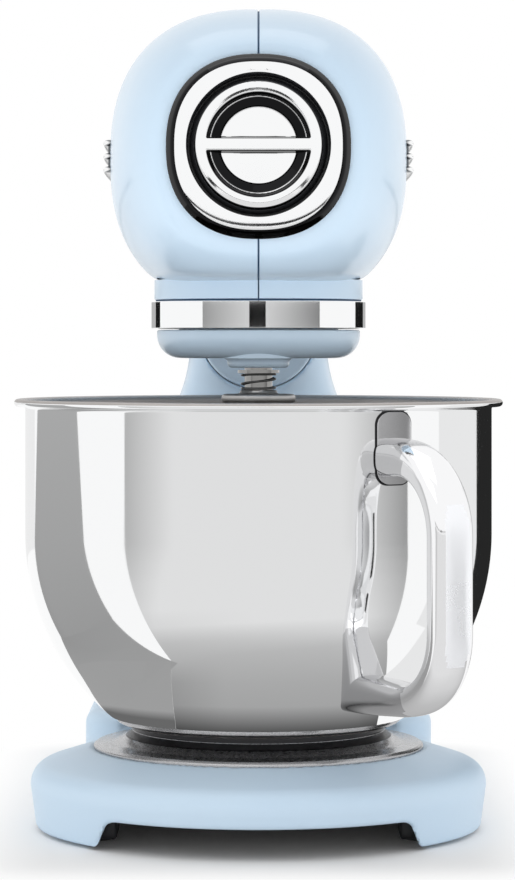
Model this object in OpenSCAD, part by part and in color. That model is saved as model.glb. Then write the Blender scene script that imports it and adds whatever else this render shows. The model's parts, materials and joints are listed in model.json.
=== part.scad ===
// Tilt-head stand mixer with a planetary drive, a twist-lock bowl and a flat beater.
// Millimetres. +X is the user's right, the front faces -Y, +Z is up, and the feet stand on Z = 0.
// The parts are drawn about the bowl's upright axis and then moved back so that Y = 0 is mid-depth.

/* [Layout] */
// Distance of the bowl's axis in front of the middle of the mixer's depth
bowl_axis_front = 70; // [50:1:90]
// Pivot of the tilting head, behind the bowl's axis
pivot_y = 175; // [170:1:180]
// Height of the pivot of the tilting head
pivot_z = 225; // [222:0.5:228]
// Offset of the beater's shaft from the bowl's axis
planet_offset = 23.8; // [23.8:0.1:23.8]

/* [Head shell] */
// Half width of the head at its widest
head_half_w = 68.2; // [64:0.1:72]
// Half height of the head at its fullest, before the flat underside
head_half_h = 68.5; // [64:0.1:72]
// Roundness of the head's section: 2 is an ellipse, higher is boxier
head_roundness = 2.44; // [2.2:0.02:2.8]
// Height of the middle of the head at the front
head_mid_z = 301.7; // [298:0.1:305]
// Rise of the head's middle toward the back
head_rise = 5; // [0:0.5:8]
// Where the head is widest, behind the bowl's axis
head_widest_y = 70; // [60:1:80]
// Length from the widest place to the theoretical tip of the nose
nose_len = 166.8; // [160:0.2:172]
// Fullness of the nose in plan
nose_power = 3.5; // [3:0.1:4]
// Flat front face of the nose, in front of the bowl's axis
nose_face_y = -86; // [-90:0.5:-84]
// Rear tip of the head, behind the bowl's axis
tail_y = 271; // [255:1:285]
// Fullness of the tail in plan
tail_power = 2.8; // [2.2:0.1:3.2]
// Height of the flat underside of the head
underside_z = 246; // [244:0.5:248]
// Wall of the head's shells
shell_wall = 3; // [2:0.1:4]
// Half of the joint between the left and right shells
seam_half = 0.25; // [0.1:0.05:0.5]
// Radius of the neck above the chrome band
neck_r = 47.2; // [46.8:0.1:48]
// Lower edge of the neck
neck_bottom_z = 238.8; // [238.5:0.1:240]
// Half size of the hole in the nose's face
nose_hole_half = 30; // [28:0.5:32]

/* [Planetary drive] */
// Outer radius of the chrome band
band_r = 48.5; // [47.5:0.1:49.5]
// Lower edge of the chrome band
band_bottom_z = 225.1; // [224.8:0.1:226]
// Radial thickness of the chrome band
band_wall = 3; // [2:0.1:3.5]
// Thickness of the band's inner flange
band_flange_t = 1.3; // [1:0.1:1.5]
// Outer radius of the rotating hub
hub_r = 46; // [45:0.1:47]
// Underside of the rotating hub
hub_bottom_z = 211.8; // [210:0.1:213]
// Rounding of the hub's lower edge
hub_edge_r = 10.5; // [6:0.5:11]
// Radius of the boss round the beater's shaft
boss_r = 13.75; // [13:0.05:15]
// Underside of that boss
boss_bottom_z = 207.6; // [206:0.1:209]
// Tooth module of the planetary gears
planet_module = 1.4; // [1.4:0.1:1.4]
// Teeth of the planet pinion
planet_teeth = 18; // [18:1:18]
// Teeth of the fixed ring gear
ring_teeth = 52; // [52:1:52]
// Outer radius of the ring gear
ring_r = 43.6; // [43:0.1:43.8]
// Radius of the centre shaft
center_shaft_r = 6; // [5:0.5:7]
// Tooth module of the reduction gears
reduction_module = 1.25; // [1.25:0.05:1.25]
// Teeth of the large reduction gear
center_teeth = 56; // [56:1:56]
// Teeth of the pinion on the countershaft
counter_teeth = 14; // [14:1:14]
// Teeth of each bevel gear of the front outlet
bevel_teeth = 20; // [20:1:20]
// Tooth module of the bevel gears
bevel_module = 1.5; // [1.5:0.1:1.5]
// Radius of the countershaft
counter_shaft_r = 5; // [4:0.5:5]
// Clearance of every shaft in its bearing, on the radius
running_clearance = 0.05; // [0.02:0.01:0.1]

/* [Motor] */
// Motor axis behind the bowl's axis
motor_y = 104; // [102:1:106]
// Outer radius of the motor's can
motor_r = 32; // [30:0.5:33]
// Height of the motor's can
motor_h = 76; // [70:1:77]
// Radius of the motor's shaft
motor_shaft_r = 4; // [3:0.5:5]
// Radius of the armature
armature_r = 20.2; // [18:0.1:20.3]
// Radius of the motor's pulley at the belt
motor_pulley_r = 10; // [9:0.5:10.5]
// Radius of the countershaft's pulley at the belt
belt_pulley_r = 25; // [22:0.5:26]
// Thickness of the belt
belt_t = 2; // [1.5:0.1:2.5]

/* [Badge and trim] */
// Half width of the square-round badge
badge_half = 39.5; // [38:0.1:41]
// Exponent of its outline
badge_roundness = 2.3; // [2:0.1:3]
// Depth of the badge in front of the nose
badge_depth = 10; // [8:0.5:12]
// Radius of the removable cover of the front outlet
cover_r = 29.6; // [28:0.1:29.8]
// Outer radius of the cover's raised ring
cover_ring_r = 26.5; // [25:0.1:27.5]
// Inner radius of the cover's raised ring
cover_well_r = 22; // [20:0.1:23]
// Radius of the floor of the cover's well
cover_floor_r = 16.4; // [14:0.1:18]
// Height of the bar across the cover
cover_bar_h = 5.2; // [4:0.1:7]
// Middle height of the badge
badge_z = 302; // [300:0.5:304]
// Overall height of the three side ribs
trim_h = 15; // [12:0.5:18]
// How far the side ribs stand out
trim_proud = 3.3; // [2:0.1:4]
// Front end of the side ribs
trim_front_y = -10; // [-20:1:10]
// Rear end of the side ribs
trim_rear_y = 140; // [100:1:160]

/* [Bowl] */
// Height of the middle of the rolled rim
bowl_rim_z = 191.7; // [190:0.1:193]
// Radius of the rolled edge itself
bowl_bead_r = 1.65; // [1.2:0.05:2]
// Outer radius of the bowl's upright wall
bowl_wall_r = 105.5; // [104:0.1:107]
// How far the rolled rim stands out from the wall
bowl_rim_out = 5; // [4:0.1:7]
// Top of the upright wall
bowl_wall_top_z = 186; // [184:0.5:188]
// How much the radius of the lower curve exceeds the wall's
bowl_curve_extra = 2.5; // [1:0.1:4]
// Radius of the crease above the foot
bowl_crease_r = 65; // [63:0.5:67]
// Height of that crease
bowl_crease_z = 48.7; // [48:0.1:49.5]
// Thickness of the bowl's sheet
bowl_sheet = 1.2; // [0.8:0.1:1.5]
// Waist of the bowl's foot
foot_waist_r = 57; // [56.5:0.1:58]
// Underside of the foot's flange
foot_bottom_z = 35.5; // [35.5:0.1:35.5]
// Turn of the handle from straight ahead toward the user's right
handle_turn = 33; // [0:1:60]
// Distance of the grip's middle from the bowl's wall
grip_out = 40; // [35:0.5:44]
// Width of the handle
handle_w = 19.6; // [16:0.1:22]
// Thickness of the grip
grip_t = 13; // [10:0.1:15]
// Height of the handle's two arms
arm_t = 17; // [14:0.1:19]
// Middle height of the upper arm
upper_arm_z = 169.7; // [160:0.1:175]
// Middle height of the lower arm
lower_arm_z = 67.6; // [64:0.1:75]
// Centre-line radius of the upper corner
upper_bend_r = 32; // [24:0.5:34]
// Centre-line radius of the lower corner
lower_bend_r = 30; // [24:0.5:32]
// Twist that frees the bowl
bowl_twist = 25; // [20:1:28]

/* [Beater] */
// Radius of the beater's shaft
tool_shaft_r = 6.2; // [5.5:0.1:6.5]
// Radius of the beater's tube
tool_tube_r = 8.2; // [7.5:0.1:9]
// Radius of the splash disc on the tube
tool_disc_r = 16.5; // [14:0.1:18]
// Top of the splash disc
tool_disc_z = 195; // [193:0.1:196]
// Thickness of the splash disc
tool_disc_t = 4; // [3:0.1:6]
// Top of the tube's collar
tool_collar_z = 197.8; // [197:0.1:199]
// Clearance between tube and shaft, on the radius
tool_clearance = 0.08; // [0.05:0.01:0.1]
// Radius of the cross pin
drive_pin_r = 1.7; // [1.5:0.1:2]
// Height of the cross pin
drive_pin_z = 183; // [182:0.5:184]
// Lowest point of the beater
beater_bottom_z = 54; // [52:0.5:60]
// Greatest half width of the beater
beater_half_w = 52; // [46:0.5:53]
// Width of the beater's frame
beater_rib = 8; // [6:0.5:10]
// Thickness of the beater's frame
beater_t = 9; // [7:0.5:11]
// Coils of the spring above the beater
tool_spring_coils = 2.6; // [2:0.1:3]

/* [Column] */
// Half width of the fork's slot for the head's tongue
slot_r = 29.2; // [28.5:0.1:29.5]
// Play between the tongue and the slot
tongue_gap = 0.4; // [0.3:0.1:0.8]
// Top of the fork
fork_top_z = 245.5; // [244:0.1:245.6]
// Rounding of the fork behind the pivot
fork_round_r = 20.5; // [19:0.1:21.5]
// Radius of the hinge pin
hinge_pin_r = 5; // [4:0.5:6]
// Wall of the column
column_wall = 4.5; // [3:0.1:6]
// Boxiness of the column's section
column_roundness = 3.2; // [2.4:0.1:4]
// Radius of the release button
button_r = 8; // [7:0.5:9]
// Height of the release button
button_z = 165; // [160:1:170]
// Travel of the release button
button_travel = 4; // [3:0.5:5]

/* [Base] */
// Outer radius of the base's round front
base_r = 103; // [100:0.5:106]
// Draft of its side at the floor
base_draft = 2.5; // [0:0.1:4]
// Height where its side turns inward
base_shoulder_z = 19.8; // [18:0.1:21]
// Radius of the shoulder above it
base_edge_r = 11; // [9:0.5:13]
// Height of the bowl's seat rim
base_top_z = 36.5; // [36.2:0.1:37]
// Radius of the bowl's seat
seat_r = 75.1; // [75:0.1:76]
// Half width of the rear block
block_half_w = 82; // [78:0.5:86]
// Height of the rear block
block_top_z = 44.7; // [43:0.1:46]
// Rear face of the block, behind the bowl's axis
block_rear_y = 245; // [240:1:250]
// Corner radius of the block in plan
block_corner_r = 40; // [30:1:50]
// Rounding of the block's upper edge
block_edge_r = 6; // [4:0.5:8]
// Wall of the base casting
base_wall = 4.5; // [3:0.1:6]
// Lower edge of the casting above the table
base_lift = 1.5; // [1:0.1:3]
// Height of the arch under the front
arch_h = 13.4; // [10:0.1:15]
// Half width of the arch at its top
arch_half_w = 67; // [60:0.5:72]
// Radius of each rubber foot
rubber_r = 11; // [8:0.5:12]
// Underside of the bottom cover
cover_plate_z = 14; // [13.5:0.1:16]
// Height of the cable gland in the rear face
gland_z = 25; // [24:0.5:28]

/* [Speed control] */
// Front end of the lever's travel, at the middle of the lever
lever_y = 103; // [100:1:108]
// Travel of the lever
lever_travel = 40; // [30:1:40]
// Half width of the slot for the lever
lever_slot_half = 3.2; // [2.6:0.1:4]
// Top of the lever's knob
lever_top_z = 378; // [376.5:0.5:380]
// Half width of the scale plate
scale_half_w = 13; // [11:0.5:14]

/* [Hidden] */
$fn = 96;

body_blue = "#cfe2f0";
chrome = "#d9dcdf";
steel = "#b9bdc1";
aluminium = "#c4c7ca";
copper = "#b8733a";
black = "#2a2b2d";
eps = 0.01;
// Middle of the grip, from the bowl's axis
grip_r = bowl_wall_r + grip_out;

hub_top_z = band_bottom_z - 0.6;
foot_flange_r = seat_r - 0.5;
bowl_rim_r = bowl_wall_r + bowl_rim_out;
bowl_curve_r = bowl_wall_r + bowl_curve_extra;
bowl_curve_z = bowl_crease_z + sqrt(bowl_curve_r ^ 2 - (bowl_crease_r + bowl_curve_extra) ^ 2);
bowl_floor_z = foot_bottom_z + 10.7;
foot_circle_r = base_r - base_draft - base_wall - rubber_r - 2.2;
seam_top_z = head_mid_z + head_half_h;
inner_floor_z = underside_z + shell_wall;
frame_top_z = inner_floor_z + 6;
band_top_z = neck_bottom_z - 1.5;
ring_bottom_z = band_top_z;
neck_hole_r = neck_r - shell_wall;
counter_y = reduction_module * (center_teeth + counter_teeth) / 2;
bevel_pitch_r = bevel_module * bevel_teeth / 2;
bridge_z = 320;
bridge_t = 6;
belt_z = 338;
belt_h = 8;
motor_top_z = frame_top_z + motor_h;
tongue_r = slot_r - tongue_gap;
tongue_front_y = 117;
lock_floor_z = foot_bottom_z - 4;
board_z = 266;
switch_top_z = 362;
scale_floor_z = 372.2;
scale_top_z = 373.6;
pillar_spots = [[28, -38], [-28, -38], [32, 58], [-32, 58]];
tongue_bolt_spots = [[12, 146], [-12, 146], [12, 182], [-12, 182]];
shell_screw_spots = [[25, 63], [-25, 63], [18, 108], [-18, 108]];
column_bolt_spots = [[54, 122], [-54, 122], [50, 216], [-50, 216]];
plate_screw_spots = [[50, -32], [-50, -32], [68, 150], [-68, 150]];
foot_turn = 26.6;
foot_spots = [
  for (s = [1, -1]) [s * foot_circle_r * cos(foot_turn), -foot_circle_r * sin(foot_turn)],
  for (s = [1, -1]) [s * (block_half_w - 20), block_rear_y - 31]
];
// Column sections from the base up: height, half width, front and rear.
column_sections = [
  [block_top_z, 71, 97, 238],
  [50, 69.5, 98, 237.5],
  [60, 67.3, 99.5, 236],
  [80, 63.5, 102.5, 232.5],
  [105, 59.2, 106, 227.5],
  [130, 55, 109.5, 221.5],
  [150, 51.3, 112, 216],
  [170, 46.8, 114, 210],
  [185, 42.3, 115.3, 205],
  [193, 39.5, 116, 202.2],
  [202, 36.6, 116.5, 199.5],
  [211, 34.6, 117, 197.5],
  [222, 33.8, 117, 196.6],
  [235, 33.4, 117, 196],
  [fork_top_z, 33.3, 117, 195.5]
];

// Signed power, for superellipses.
function spow(v, p) = sign(v) * pow(abs(v), p);

// Angle step of a tooth's flank at radius r on base radius b.
function inv(b, r) = tan(acos(min(1, b / r))) * 180 / PI - acos(min(1, b / r));

// Outline of an involute gear: teeth, module, addendum, dedendum and extra half-tooth angle.
function gear_points(n, m, add, ded, grow) =
  let(
    rp = m * n / 2,
    rb = rp * cos(20),
    half = 90 / n + grow,
    radii = [rp - ded, max(rp - ded, rb) + 0.01, rp, rp + add * 0.6, rp + add]
  )
  [for (k = [0:n - 1])
    for (s = [0:2 * len(radii) - 1])
      let(
        left = s < len(radii),
        r = left ? radii[s] : radii[2 * len(radii) - 1 - s],
        a = half + inv(rb, rp) - inv(rb, max(r, rb)),
        t = 360 / n * k + (left ? -a : a)
      )
      [r * cos(t), r * sin(t)]];

// External gear with its first tooth centred on angle a0.
module gear(n, m, h, a0) {
  rotate([0, 0, a0])
    linear_extrude(height = h)
      polygon(gear_points(n, m, m, 1.25 * m, -1.2 / n));
}

// Bevel gear blank with its cone's tip at the origin and its large end at z = -tip.
module bevel(n, m, face, a0) {
  tip = m * n / 2;
  rotate([0, 0, a0])
    translate([0, 0, -tip])
      linear_extrude(height = face, scale = (tip - face) / tip)
        polygon(gear_points(n, m, 0.8 * m, 1.0 * m, -4 / n));
}

// Solid through rings with the same number of points, run counter-clockwise upward.
module loft(rings) {
  n = len(rings[0]);
  m = len(rings);
  pts = [for (r = rings) for (p = r) p];
  sides = [
    for (i = [0:m - 2])
      for (j = [0:n - 1])
        let(k = (j + 1) % n)
        each [[i * n + j, (i + 1) * n + j, (i + 1) * n + k], [i * n + j, (i + 1) * n + k, i * n + k]]
  ];
  bottom = [[for (j = [0:n - 1]) j]];
  top = [[for (j = [n - 1:-1:0]) (m - 1) * n + j]];
  polyhedron(points = pts, faces = concat(bottom, sides, top));
}

// Places a child at each of a list of [x, y] spots at height z.
module at_spots(spots, z) {
  for (s = spots)
    translate([s[0], s[1], z])
      children();
}

// Moves a node from the bowl's axis to the mixer's own frame.
module place() {
  translate([0, -bowl_axis_front, 0])
    children();
}

// A ring of rectangular section.
module tube(r_out, r_in, z0, z1) {
  translate([0, 0, z0])
    difference() {
      cylinder(r = r_out, h = z1 - z0);
      translate([0, 0, -1])
        cylinder(r = r_in, h = z1 - z0 + 2);
    }
}

// A screw with its head down: head from z0 upward and shank on to z1.
module screw(head_r, head_h, shank_r, z0, z1) {
  translate([0, 0, z0])
    difference() {
      cylinder(r = head_r, h = head_h);
      translate([0, 0, -1])
        cylinder(r = head_r * 0.5, h = head_h * 0.5 + 1, $fn = 6);
    }
  translate([0, 0, z0 + head_h - eps])
    cylinder(r = shank_r, h = z1 - z0 - head_h + eps);
}

// ---- head shells

function head_c(y) = head_mid_z + head_rise * (1 - cos(180 * min(1, max(0, (y + 30) / 230)))) / 2;

// Station along the head: u runs 0 to 1 over the nose and 1 to 2 over the tail.
function head_y(u, off) =
  let(t0 = asin(pow((head_widest_y - nose_face_y) / nose_len, nose_power / 2)))
  u < 1
    ? head_widest_y - (nose_len - off) * pow(sin(t0 * (1 - u)), 2 / nose_power)
    : head_widest_y + (tail_y - head_widest_y - off) * pow(sin(90 * (u - 1)), 2 / tail_power);
function head_s(u) =
  let(t0 = asin(pow((head_widest_y - nose_face_y) / nose_len, nose_power / 2)))
  u < 1
    ? pow(cos(t0 * (1 - u)), 2 / nose_power)
    : pow(max(0, cos(90 * (u - 1))), 2 / tail_power);

// Half section of the head, from its crown round the right side to its underside.
head_side_points = 34;
function half_section(w, h, y, floor_z, keep) =
  [for (j = [0:head_side_points])
    let(t = 180 * j / head_side_points)
    [max(keep, w * pow(max(0, sin(t)), 2 / head_roundness)), y,
     max(floor_z, head_c(y) + h * spow(cos(t), 2 / head_roundness))]];

head_stations = [
  0, 0.03, 0.09, 0.16, 0.24, 0.33, 0.43, 0.54, 0.66, 0.78, 0.9,
  1.0, 1.12, 1.24, 1.35, 1.45, 1.54, 1.62, 1.7, 1.77, 1.83, 1.88, 1.92, 1.955, 1.98
];

// Right half of the shell: outer skin, inner skin, nose face with its hole, and a closed tail.
module half_shell() {
  n = head_side_points + 1;
  outer = concat(
    [half_section(nose_hole_half, nose_hole_half, nose_face_y, 0, seam_half)],
    [for (u = head_stations)
      half_section(head_half_w * head_s(u), head_half_h * head_s(u), head_y(u, 0), underside_z, seam_half)]
  );
  inner = concat(
    [half_section(nose_hole_half, nose_hole_half, nose_face_y + shell_wall, 0, seam_half)],
    [for (u = head_stations)
      let(y = u == 0 ? nose_face_y + shell_wall : head_y(u, shell_wall))
      half_section((head_half_w - shell_wall) * head_s(u), (head_half_h - shell_wall) * head_s(u),
        y, inner_floor_z, seam_half)]
  );
  m = len(outer);
  o_tip = 2 * m * n;
  i_tip = 2 * m * n + 1;
  base = m * n;
  pts = concat(
    [for (r = outer) for (p = r) p],
    [for (r = inner) for (p = r) p],
    [[seam_half, tail_y, head_c(tail_y)], [seam_half, tail_y - shell_wall, head_c(tail_y)]]
  );
  skins = [
    for (i = [0:m - 2])
      for (j = [0:n - 2])
        let(a = i * n + j, b = a + 1, c = a + n, d = c + 1)
        each [[a, c, d], [a, d, b], [base + a, base + d, base + c], [base + a, base + b, base + d]]
  ];
  tips = [
    for (j = [0:n - 2])
      let(a = (m - 1) * n + j)
      each [[a, o_tip, a + 1], [base + a, base + a + 1, i_tip]]
  ];
  hole = [for (j = [0:n - 2]) each [[j, j + 1, base + j + 1], [j, base + j + 1, base + j]]];
  crown = [for (i = [0:m - 2]) let(a = i * n)
    each [[a, base + a, base + a + n], [a, base + a + n, a + n]]];
  keel = [for (i = [0:m - 2]) let(a = i * n + n - 1)
    each [[a, a + n, base + a + n], [a, base + a + n, base + a]]];
  ends = [
    [(m - 1) * n, base + (m - 1) * n, i_tip], [(m - 1) * n, i_tip, o_tip],
    [m * n - 1, o_tip, i_tip], [m * n - 1, i_tip, base + m * n - 1]
  ];
  polyhedron(points = pts, faces = concat(skins, tips, hole, crown, keel, ends));
}

// Studs that hold a side rib strip to its shell.
module trim_studs(grow) {
  for (y = [trim_front_y + 20, (trim_front_y + trim_rear_y) / 2, trim_rear_y - 20])
    translate([head_half_w - 8, y, badge_z + 1])
      rotate([0, 90, 0])
        cylinder(r = 1.5 + grow, h = 9);
}

// Right shell with its neck, less the openings for drive, tongue, lever and screws.
module finished_half_shell() {
  difference() {
    union() {
      half_shell();
      rotate([0, 0, -90])
        rotate_extrude(angle = 180)
          translate([neck_hole_r, neck_bottom_z])
            square([shell_wall, underside_z - neck_bottom_z + 2.5]);
    }
    translate([0, 0, neck_bottom_z - 5])
      cylinder(r = neck_hole_r, h = inner_floor_z - neck_bottom_z + 8);
    translate([-5, -60, neck_bottom_z - 5])
      cube([5 + seam_half, 140, 12]);
    translate([-1, tongue_front_y - 0.5, underside_z - 5])
      cube([tongue_r + 1.3, 82, 11]);
    translate([-1, lever_y - 7, seam_top_z - 10])
      cube([lever_slot_half + 1, lever_travel + 14, 30]);
    translate([-1, lever_y - 13.2, scale_floor_z])
      cube([scale_half_w + 1.2, lever_travel + 26.4, 10]);
    for (s = [shell_screw_spots[0], shell_screw_spots[2]])
      translate([s[0], s[1], underside_z - 1]) {
        cylinder(r = 1.6, h = 6);
        cylinder(r = 3.2, h = 2.4);
      }
    trim_studs(0.05);
  }
}

module head_shell_right() {
  color(body_blue)
    place()
      finished_half_shell();
}

module head_shell_left() {
  color(body_blue)
    place()
      mirror([1, 0, 0])
        finished_half_shell();
}

// Three ribs along the side of the head, on one strip with studs.
module side_ribs() {
  rib_h = trim_h / 5;
  steps = 12;
  for (k = [0:2])
    loft([
      for (i = [0:steps])
        let(
          y = trim_front_y + (trim_rear_y - trim_front_y) * i / steps,
          w = side_x(y) + 0.02,
          p = trim_proud * min(1, 0.35 + 2.6 * min(i, steps - i) / steps),
          z = badge_z + 1 - trim_h / 2 + 2 * rib_h * k
        )
        [[w, y, z], [w, y, z + rib_h], [w + p * 0.8, y, z + rib_h], [w + p, y, z + rib_h * 0.7],
         [w + p, y, z + rib_h * 0.3], [w + p * 0.8, y, z]]
    ]);
  loft([
    for (i = [0:steps])
      let(
        y = trim_front_y + 6 + (trim_rear_y - trim_front_y - 12) * i / steps,
        w = side_x(y) + 0.02,
        z = badge_z + 1 - trim_h / 2 + 0.5
      )
      [[w, y, z], [w, y, z + trim_h - 1], [w + 0.9, y, z + trim_h - 1], [w + 0.9, y, z]]
  ]);
  trim_studs(0);
}

// Half width of the head at a distance behind the bowl's axis.
function side_x(y) =
  y < head_widest_y
    ? head_half_w * pow(1 - pow((head_widest_y - y) / nose_len, nose_power), 1 / nose_power)
    : head_half_w * pow(1 - pow((y - head_widest_y) / (tail_y - head_widest_y), tail_power), 1 / tail_power);

module side_trim_right() {
  color(chrome)
    place()
      side_ribs();
}

module side_trim_left() {
  color(chrome)
    place()
      mirror([1, 0, 0])
        side_ribs();
}

// ---- head frame and drive

module head_frame() {
  color(aluminium)
    place()
      difference() {
        union() {
          translate([0, 0, inner_floor_z]) {
            cylinder(r = 43, h = frame_top_z - inner_floor_z);
            translate([-34, 0, 0])
              cube([68, 118, frame_top_z - inner_floor_z]);
            translate([-24, 110, 0])
              cube([48, 80, frame_top_z - inner_floor_z]);
            for (s = [-1, 1])
              rotate([0, 0, s * 36.4 - 90])
                translate([36, -4, 0])
                  cube([14.8, 8, frame_top_z - inner_floor_z]);
          }
          at_spots(pillar_spots, frame_top_z - eps)
            cylinder(r = 4.2, h = bridge_z - frame_top_z + eps);
          at_spots([[20, 153], [-20, 153], [20, 187], [-20, 187]], frame_top_z - eps)
            cylinder(r = 2.5, h = board_z - frame_top_z + eps);
        }
        translate([0, 0, inner_floor_z - 1])
          cylinder(r = 11, h = 12);
        translate([0, counter_y, inner_floor_z - 1])
          cylinder(r = 9, h = 12);
        at_spots(tongue_bolt_spots, inner_floor_z - 1)
          cylinder(r = 3, h = 12);
        at_spots(shell_screw_spots, inner_floor_z - 1)
          cylinder(r = 1.5, h = 5);
        for (a = [45:90:315])
          rotate([0, 0, a])
            translate([41, 0, inner_floor_z - 1])
              cylinder(r = 1.25, h = 5);
        at_spots(pillar_spots, bridge_z - 10)
          cylinder(r = 1.5, h = 12);
      }
}

// Tongue of the head between the column's fork: a U in front view, a ball about the pivot behind.
module hinge_tongue() {
  rise = inner_floor_z - pivot_z;
  back = fork_round_r - 0.2;
  flank = tongue_r - 0.1;
  color(body_blue)
    place()
      difference() {
        translate([0, pivot_y, pivot_z])
          union() {
            rotate([90, 0, 0])
              linear_extrude(height = pivot_y - tongue_front_y)
                intersection() {
                  union() {
                    circle(r = tongue_r);
                    translate([-flank, 0])
                      square([2 * flank, rise]);
                  }
                  translate([-tongue_r - 1, -tongue_r - 1])
                    square([2 * tongue_r + 2, tongue_r + 1 + rise]);
                }
            translate([-flank, 0, 0])
              rotate([90, 0, 90])
                linear_extrude(height = 2 * flank)
                  polygon([[-eps, 0], [0, 0], [back, back], [back, rise], [-eps, rise]]);
            intersection() {
              sphere(r = tongue_r);
              translate([-tongue_r, -eps, -tongue_r])
                cube([2 * tongue_r, back + eps, tongue_r + rise]);
            }
          }
        translate([-40, pivot_y, pivot_z])
          rotate([0, 90, 0])
            cylinder(r = hinge_pin_r + 2.5, h = 80);
        at_spots(tongue_bolt_spots, inner_floor_z - 14)
          cylinder(r = 2.5, h = 20);
        translate([-18, tongue_front_y + 5, pivot_z - 8])
          cube([36, 20, inner_floor_z - pivot_z + 10]);
      }
}

module tongue_bolts() {
  color(steel)
    place()
      at_spots(tongue_bolt_spots, 0) {
        translate([0, 0, inner_floor_z - 13])
          cylinder(r = 2.5, h = frame_top_z - inner_floor_z + 13);
        translate([0, 0, frame_top_z])
          cylinder(r = 4.5, h = 3.5, $fn = 6);
      }
}

module hinge_bushes() {
  color("#b08d4f")
    place()
      for (s = [-1, 1])
        translate([s * (tongue_r - 11.2), pivot_y, pivot_z])
          rotate([0, s * 90, 0])
            difference() {
              cylinder(r = hinge_pin_r + 2.5, h = 10);
              translate([0, 0, -1])
                cylinder(r = hinge_pin_r + running_clearance, h = 12);
            }
}

module shell_screws() {
  color(steel)
    place()
      at_spots(shell_screw_spots, 0)
        screw(3, 1.9, 1.5, underside_z - 0.5, inner_floor_z + 4);
}

// Chrome band under the neck, its inner flange clamped below the ring gear.
module neck_band() {
  color(chrome)
    place()
      difference() {
        rotate_extrude()
          union() {
            translate([band_r - band_wall, band_bottom_z])
              square([band_wall - 0.4, band_top_z - band_bottom_z]);
            translate([band_r - band_wall, band_bottom_z + 0.4])
              square([band_wall, band_top_z - band_bottom_z - 0.8]);
            translate([38.6, band_top_z - band_flange_t])
              square([band_r - band_wall - 38.5, band_flange_t]);
          }
        for (a = [45:90:315])
          rotate([0, 0, a])
            translate([41, 0, band_top_z - 4])
              cylinder(r = 1.3, h = 8);
      }
}

module ring_gear() {
  color(steel)
    place()
      translate([0, 0, ring_bottom_z])
        difference() {
          cylinder(r = ring_r, h = inner_floor_z - ring_bottom_z);
          rotate([0, 0, -90])
            translate([0, 0, -1])
              linear_extrude(height = inner_floor_z - ring_bottom_z + 2)
                polygon(gear_points(ring_teeth, planet_module, 1.25 * planet_module, planet_module, 0.06));
          for (a = [45:90:315])
            rotate([0, 0, a])
              translate([41, 0, -1])
                cylinder(r = 1.25, h = 20);
        }
}

module ring_gear_screws() {
  color(steel)
    place()
      for (a = [45:90:315])
        rotate([0, 0, a])
          translate([41, 0, 0]) {
            translate([0, 0, band_top_z - band_flange_t - 1.4])
              cylinder(r = 2.2, h = 1.4);
            translate([0, 0, band_top_z - band_flange_t - eps])
              cylinder(r = 1.25, h = inner_floor_z + 4 - band_top_z + band_flange_t);
          }
}

// Upper gearbox plate on the frame's pillars, with the outlet bush's hanger.
module gearbox_bridge() {
  color(aluminium)
    place()
      difference() {
        union() {
          translate([0, 0, bridge_z])
            linear_extrude(height = bridge_t)
              difference() {
                translate([-37, -46])
                  square([74, 110]);
                for (s = [-1, 1])
                  translate([s * 37, 9])
                    circle(r = 20);
              }
          translate([-13, -62, badge_z - 13])
            cube([26, 22, bridge_z + bridge_t - badge_z + 13]);
        }
        translate([0, 0, bridge_z - 1])
          cylinder(r = 11, h = 12);
        translate([0, counter_y, bridge_z - 1])
          cylinder(r = 9, h = 12);
        at_spots(pillar_spots, bridge_z - 1)
          cylinder(r = 1.6, h = 12);
        translate([0, -39, badge_z])
          rotate([90, 0, 0])
            cylinder(r = 9, h = 24);
      }
}

module bridge_screws() {
  color(steel)
    place()
      at_spots(pillar_spots, 0) {
        translate([0, 0, bridge_z + bridge_t])
          cylinder(r = 3, h = 2.4);
        translate([0, 0, bridge_z - 8])
          cylinder(r = 1.5, h = bridge_t + 8 + eps);
      }
}

module center_bearings() {
  color(steel)
    place() {
      tube(11, center_shaft_r + running_clearance, inner_floor_z, frame_top_z);
      tube(11, center_shaft_r + running_clearance, bridge_z, bridge_z + bridge_t);
    }
}

module countershaft_bearings() {
  color(steel)
    place()
      translate([0, counter_y, 0]) {
        tube(9, counter_shaft_r + running_clearance, inner_floor_z, frame_top_z);
        tube(9, counter_shaft_r + running_clearance, bridge_z, bridge_z + bridge_t);
      }
}

module outlet_bush() {
  color("#b08d4f")
    place()
      translate([0, -40, badge_z])
        rotate([90, 0, 0])
          tube(9, counter_shaft_r + running_clearance, 0, 22);
}

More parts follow.
